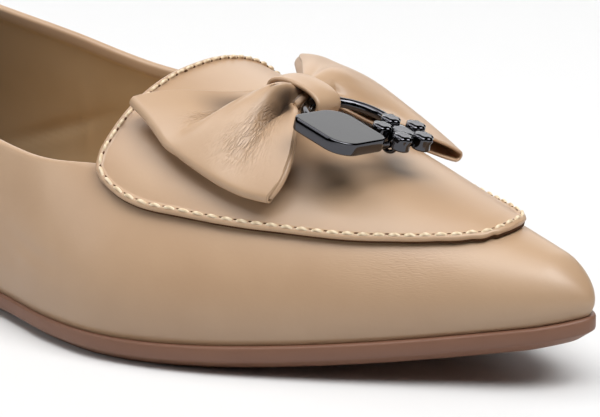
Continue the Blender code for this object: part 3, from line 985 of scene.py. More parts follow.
@dataclass
class Slab:
    """Piece with the sole's outline, from rows of inset and height that run from its underside to its top."""

    name: str
    node: str
    slot: Slot
    profile: tuple[tuple[float, Callable[[Any], np.ndarray], float], ...]
    heel_rows: int = 60
    waist_rows: int = 90
    toe_rows: int = 90

    def stations(self) -> np.ndarray:
        """Stations from heel to toe, closer where the outline is round.

        Returns:
            The stations.
        """
        heel = LAST.heel_round - closing(0.0, LAST.heel_round, self.heel_rows)[::-1]
        breast = np.array([LAST.heel_breast, LAST.heel_breast + LAST.breast_slope])
        waist = np.union1d(np.linspace(LAST.heel_round, LAST.throat, self.waist_rows)[1:], breast)
        return np.concatenate([heel, waist, closing(LAST.throat, LAST.length, self.toe_rows)[1:]])

    def row(self, stations: np.ndarray, inset: float, height: np.ndarray, side: Side) -> np.ndarray:
        """One side of the outline, moved in and lifted.

        Args:
            stations: places along the shoe.
            inset: distance inside the outline.
            height: height at each station.
            side: side of the shoe.

        Returns:
            One point for each station.
        """
        width = LAST.half_width(stations, side.value)
        step_x, step_w = np.gradient(stations), np.gradient(width)
        length = np.hypot(step_x, step_w)
        in_x, in_w = step_w / length, -step_x / length
        in_x[0], in_w[0], in_x[-1], in_w[-1] = 1.0, 0.0, -1.0, 0.0
        reach = np.maximum(width + inset * in_w, 0.0)
        return np.stack([stations + inset * in_x, side.value * reach, height], -1)

    def sheet(self) -> Sheet:
        """Closed slab: a wall of rows round the outline, and strips across its underside and top.

        Returns:
            The slab.
        """
        stations = self.stations()
        walls = []
        for side in Side:
            rows = [self.row(stations, inset, base(stations) + up, side) for inset, base, up in self.profile]
            walls.append(np.stack(rows))
        patches = [Sheet.grid(wall, flip=side is Side.LATERAL) for wall, side in zip(walls, Side)]
        for level, flip in ((0, False), (-1, True)):
            patches.append(Sheet.grid(np.stack([wall[level] for wall in walls], 1), flip=flip))
        return Sheet.joined(patches).merged()

    def build(self, material: bpy.types.Material) -> bpy.types.Object:
        """Makes the slab and puts it on the shoe.

        Args:
            material: its finish.

        Returns:
            The piece.
        """
        piece = to_object(self.name, self.sheet(), (material,))
        return mount(piece, Body.SHOE, self.node)


OUTSOLE = Slab(
    "outsole_rubber",
    "outsole",
    Slot.RUBBER,
    (
        (3.4, LAST.tread, 0.0),
        (3.0, LAST.tread, 0.06),
        (2.7, LAST.tread, 0.25),
        (0.35, LAST.tread, 2.0),
        (0.08, LAST.tread, 2.25),
        (0.0, LAST.tread, 2.55),
        (0.0, LAST.feather, -0.5),
        (0.12, LAST.feather, -0.2),
        (0.5, LAST.feather, 0.0),
    ),
)
INSOLE = Slab(
    "insole_sock",
    "insole",
    Slot.LINING,
    (
        (3.4, LAST.feather, 0.3),
        (3.4, LAST.feather, 1.3),
        (3.55, LAST.feather, 1.6),
        (4.0, LAST.feather, 1.78),
        (5.0, LAST.feather, 1.8),
    ),
)


@dataclass
class Apron:
    """Apron over the vamp: a leather sheet with a rolled bead round it, inside which a stitch line sinks."""

    thickness: float = 1.3
    rear: float = 167.4
    tip: float = 241.6
    rim: float = 0.5
    # The rim's foot, which stands out so that its painted shadow shows below the bead
    skirt: float = 0.5
    half_arc: float = 24.0
    bead_width: float = 1.1
    bead_rise: float = 0.4
    bead_fall: float = 0.35
    stitch_line: float = 0.95
    stitch_blur: int = 6
    groove_depth: float = 0.16
    groove_width: float = 0.36
    groove_fade: float = 2.4
    rows: int = 170
    half_columns: int = 64
    row_evenness: float = 0.35
    column_evenness: float = 0.45

    def sheet(self) -> Sheet:
        """Outer surface, lifted off the upper and shaped near its edge.

        Returns:
            The surface.
        """
        even = np.arange(self.rows + 1) / self.rows
        shares = self.row_evenness * even
        shares = shares + (1 - self.row_evenness) * (1 - np.cos(HALF_TURN * even)) / 2
        even = np.arange(-self.half_columns, self.half_columns + 1) / self.half_columns
        steps = self.column_evenness * even + (1 - self.column_evenness) * np.sin(even * QUARTER_TURN)
        x = (self.rear + self.rim + (self.tip - self.rear - 2 * self.rim) * shares)[:, None]
        edge = np.radians(APRON_EDGE.curve("angle", shares))[:, None]
        side = np.where(steps < 0, Side.MEDIAL.value, Side.LATERAL.value)[None, :]
        inside = 1 - self.rim / self.half_arc
        angle = QUARTER_TURN - np.abs(steps)[None, :] * (QUARTER_TURN - edge) * inside
        made = Sheet.grid(LAST.point(x, side, angle), flip=True).merged()
        normals = made.normals()
        distance = nearest(made.points[made.borders()[0]], made.points)
        lift = FIT_GAP + self.thickness + self.relief(distance)
        made.points = made.points + lift[:, None] * normals
        return made

    def relief(self, distance: np.ndarray) -> np.ndarray:
        """Lift near the edge: the bead, and the stitch groove that fades out inside it.

        Args:
            distance: distance of each point from the edge.

        Returns:
            One lift for each point.
        """
        half = self.bead_width / 2
        off = (distance - half) / half
        outer, inner = 1 - self.bead_fall * off**2, np.sqrt(np.clip(1 - off**2, 0.0, 1.0))
        bead = self.bead_rise * np.where(off < 0, outer, inner)
        inward = distance - self.stitch_line
        groove = np.where(inward < 0, bell(inward, self.groove_width), bell(inward, self.groove_fade))
        return bead - self.groove_depth * groove

    def stitch_path(self, sheet: Sheet) -> tuple[np.ndarray, np.ndarray]:
        """Closed line of the stitches on the apron.

        Args:
            sheet: the apron's outer surface.

        Returns:
            Points on the surface, and its normals there.
        """
        normals = sheet.normals()
        loop = sheet.borders()[0]
        aim = sheet.points[loop] - self.stitch_line * sheet.border_out(loop, normals, self.stitch_blur)
        tree = KDTree(len(sheet.points))
        for number, place in enumerate(sheet.points):
            tree.insert(place, number)
        tree.balance()
        found = np.array([tree.find(place)[1] for place in aim])
        normal = normals[found]
        off = np.sum((aim - sheet.points[found]) * normal, axis=1, keepdims=True)
        return aim - off * normal, normal

    def build(self, finishes: Finishes) -> bpy.types.Object:
        """Makes the apron with its stitches and puts them on the shoe.

        Args:
            finishes: materials of the shoe.

        Returns:
            The apron's piece.
        """
        sheet = self.sheet()
        wall = sheet.shell(self.thickness, lambda border: self.rim, skirt=self.skirt)
        # The rim's under faces and foot take the painted shadow: a dark line for the shade under the apron's
        # edge
        wall.parts = np.where(wall.parts == Face.UNDER.value, 1, 0)
        piece = to_object("apron_leather", wall, (finishes.tan, finishes.edge))
        mount(piece, Body.SHOE, "apron")
        Stitching().build(*self.stitch_path(sheet), finishes)
        return piece


@dataclass
class Stitching:
    """Line of arched stitches with a needle hole of painted shadow between each two, laid along a path by
    Geometry Nodes.
    """

    pitch: float = 2.85
    pitch_slack: float = 1.0001
    length: float = 2.2
    arch: float = 0.34
    radius: float = 0.32
    sink: float = 0.08
    taper: float = 0.4
    hole_radius: float = 0.22
    hole_length: float = 0.8
    hole_inset: float = 0.2
    hole_sink: float = 0.27
    tangent_reach: int = 3

    def tree(self) -> bpy.types.NodeTree:
        """Node tree that sets one shape at every step along a curve, standing on the surface.

        Returns:
            The tree, with its sizes as inputs.
        """
        tree = bpy.data.node_groups.new("stitch_line", "GeometryNodeTree")
        face = tree.interface
        face.new_socket("Path", in_out="INPUT", socket_type="NodeSocketGeometry")
        for name in ("Pitch", "Half Length", "Arch", "Radius", "Sink", "Taper"):
            face.new_socket(name, in_out="INPUT", socket_type="NodeSocketFloat")
        face.new_socket("Material", in_out="INPUT", socket_type="NodeSocketMaterial")
        face.new_socket("Stitches", in_out="OUTPUT", socket_type="NodeSocketGeometry")
        given = add_node(tree, "NodeGroupInput").outputs
        curve = add_node(tree, "GeometryNodeMeshToCurve", {"Mesh": given["Path"]}).outputs["Curve"]
        steps = {"Curve": curve, "Length": given["Pitch"]}
        spaced = add_node(tree, "GeometryNodeResampleCurve", steps, mode="LENGTH")
        low, back = [
            add_node(tree, "ShaderNodeMath", {0: given[size], 1: -1.0}, operation="MULTIPLY").outputs[0]
            for size in ("Sink", "Half Length")
        ]
        start, crown, end = [
            add_node(tree, "ShaderNodeCombineXYZ", parts).outputs[0]
            for parts in ({"X": back, "Z": low}, {"Z": given["Arch"]}, {"X": given["Half Length"], "Z": low})
        ]
        bend = {"Resolution": 7, "Start": start, "Middle": crown, "End": end}
        arc = add_node(tree, "GeometryNodeCurveQuadraticBezier", bend)
        share = add_node(tree, "GeometryNodeSplineParameter").outputs["Factor"]
        wave = add_node(tree, "ShaderNodeMath", {0: share, 1: HALF_TURN}, operation="MULTIPLY").outputs[0]
        swell = add_node(tree, "ShaderNodeMath", {0: wave}, operation="SINE").outputs[0]
        thin = add_node(tree, "ShaderNodeMath", {0: 1.0, 1: given["Taper"]}, operation="SUBTRACT").outputs[0]
        rounding = {0: swell, 1: given["Taper"], 2: thin}
        girth = add_node(tree, "ShaderNodeMath", rounding, operation="MULTIPLY_ADD").outputs[0]
        full = add_node(tree, "GeometryNodeSetCurveRadius", {"Curve": arc.outputs["Curve"], "Radius": girth})
        circle = {"Resolution": 8, "Radius": given["Radius"]}
        ring = add_node(tree, "GeometryNodeCurvePrimitiveCircle", circle)
        tube = {"Curve": full.outputs["Curve"], "Profile Curve": ring.outputs["Curve"], "Fill Caps": True}
        shape = add_node(tree, "GeometryNodeCurveToMesh", tube)
        stored = {"Name": "surface"}
        normal = add_node(tree, "GeometryNodeInputNamedAttribute", stored, data_type="FLOAT_VECTOR")
        tangent = add_node(tree, "GeometryNodeInputTangent")
        axes = {"Primary Axis": normal.outputs["Attribute"], "Secondary Axis": tangent.outputs["Tangent"]}
        turn = add_node(tree, "FunctionNodeAxesToRotation", axes, primary_axis="Z", secondary_axis="X")
        laid = {
            "Points": spaced.outputs["Curve"],
            "Instance": shape.outputs["Mesh"],
            "Rotation": turn.outputs["Rotation"],
        }
        copies = add_node(tree, "GeometryNodeInstanceOnPoints", laid)
        real = add_node(tree, "GeometryNodeRealizeInstances", {"Geometry": copies.outputs["Instances"]})
        smooth = add_node(tree, "GeometryNodeSetShadeSmooth", {"Geometry": real.outputs["Geometry"]})
        dress = {"Geometry": smooth.outputs["Geometry"], "Material": given["Material"]}
        dressed = add_node(tree, "GeometryNodeSetMaterial", dress)
        add_node(tree, "NodeGroupOutput", {"Stitches": dressed.outputs["Geometry"]})
        return tree

    def lay(
        self,
        name: str,
        path: np.ndarray,
        normal: np.ndarray,
        sizes: dict[str, float],
        taper: float,
        material: bpy.types.Material,
    ) -> bpy.types.Object:
        """Runs the tree along a closed path, keeps the result as a plain mesh and puts it on the shoe.

        Args:
            name: name of the piece.
            path: points of the path in last millimetres.
            normal: surface normal at each point.
            sizes: the tree's lengths in millimetres, by input name.
            taper: share of the radius that is lost at a shape's ends.
            material: finish of the shapes.

        Returns:
            The piece.
        """
        mesh = bpy.data.meshes.new(name)
        count = len(path)
        edges = [(k, (k + 1) % count) for k in range(count)]
        mesh.from_pydata(to_part(path), edges, [])
        mesh.attributes.new("surface", "FLOAT_VECTOR", "POINT").data.foreach_set("vector", normal.ravel())
        holder = add_object(name, mesh)
        nodes = holder.modifiers.new("stitches", "NODES")
        nodes.node_group = self.tree()
        sockets = {s.name: s.identifier for s in nodes.node_group.interface.items_tree if s.in_out == "INPUT"}
        for size, value in sizes.items():
            nodes[sockets[size]] = value * MM
        nodes[sockets["Taper"]] = taper
        nodes[sockets["Material"]] = material
        bpy.context.view_layer.update()
        whole = holder.evaluated_get(bpy.context.evaluated_depsgraph_get())
        plain = bpy.data.meshes.new_from_object(whole)
        holder.modifiers.clear()
        holder.data = plain
        return mount(holder, Body.SHOE)

    def build(self, path: np.ndarray, normal: np.ndarray, finishes: Finishes) -> None:
        """Makes the stitches and their needle holes.

        Args:
            path: points of the stitch line in last millimetres.
            normal: surface normal at each point.
            finishes: materials of the shoe.
        """
        steps = np.linalg.norm(np.roll(path, -1, 0) - path, axis=1)
        total = float(steps.sum())
        # A hair over an even share of the path, so that rounding adds no stitch where it closes
        pitch = total / round(total / self.pitch) * self.pitch_slack
        # The arc's middle handle stands twice as high as its crown
        stitch = {
            "Pitch": pitch,
            "Half Length": self.length / 2,
            "Arch": self.arch * 2,
            "Radius": self.radius,
            "Sink": self.sink + self.radius,
        }
        self.lay("apron_stitches", path, normal, stitch, self.taper, finishes.thread)
        hole = {
            "Pitch": pitch,
            "Half Length": self.hole_length / 2,
            "Arch": 0.0,
            "Radius": self.hole_radius,
            "Sink": self.hole_sink,
        }
        shift = int(np.searchsorted(np.concatenate([[0.0], np.cumsum(steps)]), pitch / 2))
        ahead, behind = np.roll(path, -self.tangent_reach, 0), np.roll(path, self.tangent_reach, 0)
        inward = unit(np.cross(normal, ahead - behind))
        holes = np.roll(path + self.hole_inset * inward, -shift, 0)
        # Needle holes: dark sunk shapes in the painted-shadow finish, standing in for the shade inside each
        # hole
        self.lay("apron_needle_holes", holes, np.roll(normal, -shift, 0), hole, 0.0, finishes.edge)


class Place:
    """Origin and three axes in the last's frame, for pieces with a frame of their own."""

    def __init__(self, origin: np.ndarray, forward: np.ndarray, across: np.ndarray) -> None:
        """Keeps the axes and works out the one that points up.

        Args:
            origin: the frame's origin.
            forward: its first axis.
            across: its second axis.
        """
        self.origin = np.asarray(origin, float)
        self.forward = np.asarray(forward, float)
        self.across = np.asarray(across, float)
        self.up = np.cross(self.forward, self.across)

    def at(self, forward: Any, across: Any, up: Any) -> np.ndarray:
        """Points in the last's frame from their places in this one.

        Args:
            forward: distances along the first axis.
            across: distances along the second axis.
            up: distances along the third axis.

        Returns:
            Points in the last axis.
        """
        ahead, aside, above = [np.asarray(value, float)[..., None] for value in (forward, across, up)]
        return self.origin + ahead * self.forward + aside * self.across + above * self.up


@dataclass(frozen=True)
class Wing:
    """Sizes of one wing of the bow."""

    half_span: float
    lean: float
    bulge: float
    bulge_power: float
    half_width: float
    shift: float
    droop: float
    droop_power: float
    dip: float
    spread_power: float


@dataclass(frozen=True)
class Mark:
    """Soft streak on the near wing that wrinkles it, or darkens it with painted shade."""

    strength: float
    middle: float
    width: float
    start: Ramp
    end: Ramp
    drift: float = 0.0
    widening: float = 0.0

    def at(self, run: np.ndarray, over: np.ndarray) -> np.ndarray:
        """Strength of the streak.

        Args:
            run: share of the way along it.
            over: place across it.

        Returns:
            One value for each place.
        """
        hump = bell(over - self.middle + self.drift * run, self.width + self.widening * run)
        return self.strength * hump * self.start.at(run) * self.end.at(run)


@dataclass
class Bow:
    """Leather band folded into two hollow loops, gathered in the middle, with the strap that ties it.

    Along it, -1 is the end of the medial, near wing and 1 that of the lateral, far one; a wing's share of
    its span is 0 at the knot. Across it, a step of -1 is the rear border and 1 the front one.
    """

    centre: tuple[float, float, float] = (194.0, 0.0, 46.0)
    slope: float = math.radians(16.0)
    turn: float = math.radians(8.0)
    roll: float = math.radians(3.5)
    leather: float = 0.6
    pinch: float = 3.2
    pinch_share: float = 0.24
    rise: float = 0.7
    end_room: float = 2.2
    shut_gap: float = 0.32
    thickest: float = 1.4
    fan_width: float = 12.0
    bed: np.ndarray = field(init=False)
    bed_end: float = 236.0
    bed_angle: float = math.radians(38.0)
    bed_samples: tuple[int, int] = (40, 30)
    bed_powers: tuple[int, int] = (3, 5)
    bed_room: float = 3.6
    bed_soft: float = 0.7
    near_pit: float = 3.0
    pit_start: Ramp = Ramp(0.1, 0.12)
    pit_end: Ramp = Ramp(0.56, -0.3)
    pit_step: Ramp = Ramp(0.1, 0.4)
    near_roll: tuple[float, float, float] = (0.08, 0.85, 0.1)
    far_roll: tuple[float, float, float] = (0.1, 0.9, 0.3)
    roll_rows: int = 60
    roll_end: float = 1.15
    roll_end_power: int = 16
    roll_tip_power: int = 30
    roll_taper: float = 0.5
    roll_columns: int = 20
    far_rear: float = 24.0
    rear_fan: Ramp = Ramp(0.3, -0.6)
    far_corner: float = 3.4
    corner_start: Ramp = Ramp(0.6, 0.4)
    corner_powers: tuple[float, float] = (1.5, 3.0)
    fan_start: float = 0.12
    far_curl: float = 2.9
    curl_step: Ramp = Ramp(-0.75, -0.45)
    curl_start: Ramp = Ramp(0.05, 0.35)
    curl_end: Ramp = Ramp(1.0, -0.4)
    curl_tip: float = 0.46
    under_tuck: float = 0.06
    tuck_end: Ramp = Ramp(1.0, -0.2)
    open_start: Ramp = Ramp(0.5, 0.25)
    open_step: Ramp = Ramp(-0.25, 0.5)
    press_step: Ramp = Ramp(0.35, 0.55)
    pass_length: float = 0.24
    probe: float = 0.004
    medial: Wing = Wing(26.9, -1.0, 3.0, 2.0, 17.6, -0.6, 7.4, 2.6, 0.9, 0.85)
    lateral: Wing = Wing(26.9, 0.4, 2.4, 3.0, 20.2, 0.5, 5.75, 2.1, 0.0, 0.6)
    columns: int = 130
    end_steps: int = 10
    rows: int = 96
    loop: Table = Table(
        ("share", "near", "far"),
        (
            (0.0, 0.6, 0.8), (0.15, 0.6, 0.85), (0.5, 0.65, 0.9), (0.65, 0.55, 0.85), (0.8, 0.42, 0.8),
            (0.9, 0.36, 0.7), (0.96, 0.34, 0.5), (1.0, 0.33, 0.35),
        ),
    )
    near_folds: Table = Table(
        ("step", "height"),
        (
            (-1.0, 0.65), (-0.7, 0.1), (-0.5, -0.5), (-0.38, -0.75), (-0.25, -0.45), (-0.07, 0.2),
            (0.12, 0.95), (0.29, 0.4), (0.5, -1.4), (0.78, -0.1), (1.0, 0.9),
        ),
    )
    far_folds: Table = Table(
        ("step", "height"),
        ((-1.0, 0.5), (-0.6, 0.0), (-0.2, 0.74), (0.2, 0.4), (0.6, 0.0), (1.0, 0.1)),
    )
    fold_size: Table = Table(
        ("share", "height"),
        ((0.0, 0.3), (0.13, 0.35), (0.2, 0.9), (0.34, 1.7), (0.55, 1.25), (0.8, 0.6), (1.0, 0.12)),
    )
    near_hang: Table = Table(
        ("step", "depth"),
        (
            (-1.0, 1.1), (-0.7, 1.1), (-0.5, 1.7), (-0.25, 3.0), (0.0, 3.6), (0.25, 3.8), (0.5, 3.7),
            (0.75, 3.5), (1.0, 2.6),
        ),
    )
    hang_power: float = 4.0
    near_drop: Table = Table(
        ("share", "depth"),
        ((0.0, 0.5), (0.24, 2.8), (0.4, 4.5), (0.6, 4.0), (0.8, 2.4), (1.0, 0.7)),
    )
    near_swell: Table = Table(
        ("share", "width"),
        (
            (0.0, 0.0), (0.2, -0.8), (0.3, -1.2), (0.45, -0.6), (0.6, 0.3), (0.8, 1.5), (0.92, 1.1),
            (1.0, 0.0),
        ),
    )
    far_drop: Table = Table(
        ("share", "depth"),
        ((0.0, 0.0), (0.24, 1.0), (0.4, 2.4), (0.5, 3.4), (0.65, 4.0), (0.8, 2.8), (1.0, 1.7)),
    )
    near_drop_step: Ramp = Ramp(-0.08, -0.26)
    far_drop_step: Ramp = Ramp(-0.2, 1.2)
    valley: Mark = Mark(1.0, 0.66, 0.1, Ramp(0.36, 0.2), Ramp(1.02, -0.22), drift=0.24, widening=0.2)
    crease: Mark = Mark(0.9, -0.4, 0.1, Ramp(0.3, 0.2), Ramp(0.98, -0.25))
    # Painted shade on the near wing: streak, hollow and pit_shade darken its colour where its folds lie in
    # shadow
    streak: Mark = Mark(0.85, 0.42, 0.15, Ramp(0.3, 0.1), Ramp(0.72, -0.3))
    hollow: Mark = Mark(0.75, -0.55, 0.34, Ramp(0.12, 0.12), Ramp(0.78, -0.3))
    pit_shade: Mark = Mark(1.0, 0.26, 0.2, Ramp(0.1, 0.22), Ramp(1.0, -0.1))
    knot_width: float = 6.6
    knot_across: float = -1.4
    knot_leather: float = 1.1
    knot_half_length: float = 5.9
    knot_half_height: float = 2.2
    knot_tilt: float = math.radians(5.0)
    knot_shift: float = 1.0
    knot_squareness: float = 2.3
    knot_crown: float = 0.12
    knot_ripple: tuple[float, float, float] = (0.06, 3.0, 0.5)
    knot_rim: float = 0.45
    knot_columns: int = 120
    knot_rows: int = 18

    def __post_init__(self) -> None:
        """Fits a smooth bed to the upper under the bow, which the wings stay above."""
        lengthwise, round_half = self.bed_samples
        stations = np.linspace(LAST.throat, self.bed_end, lengthwise)[:, None, None]
        sides = np.array([side.value for side in Side])[None, :, None]
        angles = np.linspace(self.bed_angle, QUARTER_TURN, round_half)[None, None, :]
        place = self.place()
        offset = LAST.point(stations, sides, angles).reshape(-1, 3) - place.origin
        terms = self.terms(offset @ place.forward, offset @ place.across)
        self.bed = np.linalg.lstsq(terms, offset @ place.up, rcond=None)[0]

    def place(self) -> Place:
        """Frame of the bow, tilted down the vamp, rolled and turned a little.

        Returns:
            The frame.
        """
        ahead = np.array([math.cos(self.slope), 0.0, -math.sin(self.slope)])
        up = np.cross(ahead, (0.0, 1.0, 0.0))
        side = np.array([0.0, math.cos(self.roll), 0.0]) - up * math.sin(self.roll)
        forward = ahead * math.cos(self.turn) - side * math.sin(self.turn)
        across = side * math.cos(self.turn) + ahead * math.sin(self.turn)
        return Place(np.array(self.centre), forward, across)

    def terms(self, forward: np.ndarray, sideways: np.ndarray) -> np.ndarray:
        """Powers of a place that the bed is fitted with.

        Args:
            forward: places forward in the bow's frame.
            sideways: places sideways in it.

        Returns:
            The powers in the last axis.
        """
        ahead, aside = np.broadcast_arrays(forward, sideways)
        most_ahead, most_aside = self.bed_powers
        return np.stack([ahead**k * aside**n for k in range(most_ahead) for n in range(most_aside)], -1)

    def far_share(self, along: np.ndarray) -> np.ndarray:
        """Share of the lateral wing at each place along the bow, which passes over under the knot."""
        return ease(0.5 + along / self.pass_length)

    def size(self, name: str, along: np.ndarray) -> np.ndarray:
        """A wing's size at each place along the bow."""
        medial, lateral = getattr(self.medial, name), getattr(self.lateral, name)
        return medial + (lateral - medial) * self.far_share(along)

    def middle(self, along: np.ndarray, step: np.ndarray) -> tuple[np.ndarray, np.ndarray, np.ndarray]:
        """Middle surface of the band.

        Args:
            along: places along the bow.
            step: places across the band.

        Returns:
            Places forward, sideways and up in the bow's frame.
        """
        out = np.abs(along)
        far_wing = self.far_share(along)
        near_wing = 1 - far_wing
        spread = np.maximum(out - self.pinch_share, 0.0) / (1 - self.pinch_share)
        widening = spread ** self.size("spread_power", along)
        half = self.pinch + (self.size("half_width", along) - self.pinch) * widening
        fan = np.maximum(out - self.fan_start, 0.0) / (1 - self.fan_start)
        rear_half = self.pinch + (self.far_rear - self.pinch) * fan
        half = half + far_wing * (rear_half - half) * self.rear_fan.at(step)
        bulge = self.size("bulge", along) * (1 - np.abs(step) ** self.size("bulge_power", along))
        span = self.size("half_span", along) + bulge + self.size("lean", along) * step - self.end_room
        near, far = self.near_folds.curve("height", step), self.far_folds.curve("height", step)
        folds = (near + (far - near) * far_wing) * self.fold_size.curve("height", out)
        droop = self.size("droop", along) * out ** self.size("droop_power", along)
        droop = droop + self.size("dip", along) * step * out**2
        droop = droop + near_wing * self.near_drop.curve("depth", out) * self.near_drop_step.at(step)
        droop = droop + near_wing * self.near_hang.curve("depth", step) * out**self.hang_power
        droop = droop + far_wing * self.far_drop.curve("depth", out) * self.far_drop_step.at(step)
        tip = self.curl_tip + (1 - self.curl_tip) * self.curl_end.at(out)
        curl = self.curl_step.at(step) * self.curl_start.at(out) * tip
        droop = droop + far_wing * self.far_curl * curl
        pit = self.pit_start.at(out) * self.pit_end.at(out)
        droop = droop + near_wing * self.near_pit * pit * self.pit_step.at(step)
        rise = self.rise * ease(out / (2 * self.pinch_share))
        swell = near_wing * self.near_swell.curve("width", out) * np.maximum(step, 0.0) ** 2
        run_power, step_power = self.corner_powers
        corner = self.far_corner * self.corner_start.at(out) ** run_power
        swell = swell + far_wing * (corner * np.maximum(-step, 0.0) ** step_power)
        forward, sideways = self.size("shift", along) * spread + step * half + swell, along * span
        over = folds + rise - droop - self.terms(forward, sideways) @ self.bed - self.bed_room
        return forward, sideways, folds + rise - droop + (np.hypot(over, self.bed_soft) - over) / 2

    def thickness(self, along: np.ndarray, step: np.ndarray) -> tuple[np.ndarray, ...]:
        """Half thickness of a loop, and the way along its middle surface.

        Args:
            along: places along the bow.
            step: places across the band.

        Returns:
            Distance from the middle surface to the outer skin, the way's shares sideways and up, and the
            slope across the band.
        """
        out, far_wing = np.abs(along), self.far_share(along)
        open_end = 1 - far_wing * self.open_start.at(out) * self.open_step.at(step)
        pressed = self.press_step.at(np.abs(step)) * open_end
        near_gap, far_gap = self.loop.curve("near", out), self.loop.curve("far", out)
        gap = near_gap + (far_gap - near_gap) * far_wing
        reach = gap - np.maximum(gap - self.shut_gap, 0.0) * pressed + self.leather / 2
        behind, ahead = self.middle(along, step - self.probe), self.middle(along, step + self.probe)
        slope = (ahead[2] - behind[2]) / (ahead[0] - behind[0])
        before = self.middle(np.maximum(along - self.probe, -1.0), step)
        after = self.middle(np.minimum(along + self.probe, 1.0), step)
        run, climb = after[1] - before[1], after[2] - before[2]
        length = np.hypot(run, climb)
        reach = reach * np.minimum(np.hypot(1.0, slope), self.thickest)
        return reach, run / length, climb / length, slope

    def band(self) -> Sheet:
        """Outer skin of the band, once round both loops.

        Returns:
            The skin, open at its two borders.
        """
        half_turns = []
        for way in (1.0, -1.0):
            flat = way * (2 * np.arange(self.columns + 1) / self.columns - 1)
            half_turns.append(np.stack([flat, np.zeros_like(flat), np.full_like(flat, way)], -1))
            bend = QUARTER_TURN - HALF_TURN * np.arange(1, self.end_steps) / self.end_steps
            half_turns.append(np.stack([np.full_like(bend, way), way * np.cos(bend), way * np.sin(bend)], -1))
        along, end, layer = np.concatenate(half_turns).T[:, None, :]
        out = np.abs(along)
        tucked = self.under_tuck * self.far_share(along) * ease(-layer) * self.tuck_end.at(out)
        steps = np.sin(QUARTER_TURN * np.linspace(-1.0, 1.0, self.rows + 1))[:, None] * (1 - tucked)
        forward, sideways, up = self.middle(along, steps)
        reach, run, climb, _ = self.thickness(along, steps)
        points = self.place().at(
            forward,
            sideways + reach * (end * run - layer * climb),
            up + reach * (end * climb + layer * run),
        )
        on_top = (along < 0) * (layer > 0)
        # Depth of the wrinkles, whose troughs the leather darkens with painted shade
        gather = (self.valley.at(out, steps) + self.crease.at(out, steps)) * on_top
        # Painted shade in the near wing's pit, along its ridge and in its rear hollow
        shade_marks = (self.pit_shade.at(steps, out), self.streak.at(out, steps), self.hollow.at(out, steps))
        values = (sideways, self.fan_width * steps, gather, np.maximum.reduce(shade_marks) * on_top)
        return Sheet.grid(points, wrap=True, **dict(zip(TRAITS, values)))

    def edge_roll(self, wing: Side, border: float, roll: tuple[float, float, float]) -> Sheet:
        """Rounded edge that closes the two layers of a wing along one of its borders.

        Args:
            wing: side that the wing lies on.
            border: -1 for the rear and 1 for the front border.
            roll: share of the span that it starts at, its reach past the border and beyond the skin.

        Returns:
            The closed roll.
        """
        first, ahead, cover = roll
        share = np.arange(self.roll_rows + 1)[:, None] / self.roll_rows
        along = wing.value * (first + (1 - first) * share)
        step = np.full_like(along, border)
        forward, sideways, up = self.middle(along, step)
        reach, run, climb, slope = self.thickness(along, step)
        beyond = wing.value * self.roll_end * reach * share**self.roll_end_power
        closed = np.where(share < self.roll_taper, 1 - share / self.roll_taper, share**self.roll_tip_power)
        girth = np.sqrt(np.clip(1 - closed**2, 0.0, 1.0))
        turn = turns(self.roll_columns)
        above = (reach + cover) * girth * np.sin(turn)
        past = ahead * girth * np.cos(turn)
        points = self.place().at(
            forward + past,
            sideways + beyond * run - climb * above,
            up + beyond * climb + run * above + slope * past,
        )
        traits = dict.fromkeys(TRAITS, 0.0)
        return Sheet.grid(points, wrap=True, flip=wing is Side.MEDIAL, **traits).merged()

    def knot(self) -> Sheet:
        """Outer skin of the strap round the gathered middle.

        Returns:
            The skin, open at its two borders.
        """
        turn = turns(self.knot_columns)
        power = 2 / self.knot_squareness
        long_share = np.sign(np.cos(turn)) * np.abs(np.cos(turn)) ** power
        high_share = np.sign(np.sin(turn)) * np.abs(np.sin(turn)) ** power
        t = np.linspace(-1.0, 1.0, self.knot_rows + 1)[:, None]
        depth, waves, phase = self.knot_ripple
        crown = self.knot_crown * (1 - t**2) + depth * np.sin(waves * t + phase) * (high_share > 0)
        thick = self.knot_leather + crown - self.knot_crown
        forward = self.knot_shift + (self.knot_half_length + thick) * long_share
        up = (self.knot_half_height + thick) * high_share + math.tan(self.knot_tilt) * forward
        across = self.knot_across + t * (self.knot_width / 2 - self.knot_rim)
        return Sheet.grid(self.place().at(forward, across, up), wrap=True, flip=True)

    def build(self, finishes: Finishes) -> bpy.types.Object:
        """Makes the loops and the strap and puts them on the shoe.

        Args:
            finishes: materials of the shoe.

        Returns:
            The loops' piece.
        """
        band = self.band().shell(self.leather, lambda border: self.leather / 2)
        band.parts[:] = 0
        near = self.edge_roll(Side.MEDIAL, 1.0, self.near_roll)
        far = self.edge_roll(Side.LATERAL, -1.0, self.far_roll)
        band = Sheet.joined([band, near, far])
        piece = mount(to_object("bow_leather", band, (finishes.tan,)), Body.SHOE, "bow_loops")
        knot = self.knot().shell(self.knot_leather - self.knot_crown, lambda border: self.knot_rim)
        knot.parts[:] = 0
        mount(to_object("knot_leather", knot, (finishes.tan,)), Body.SHOE, "bow_knot")
        return piece


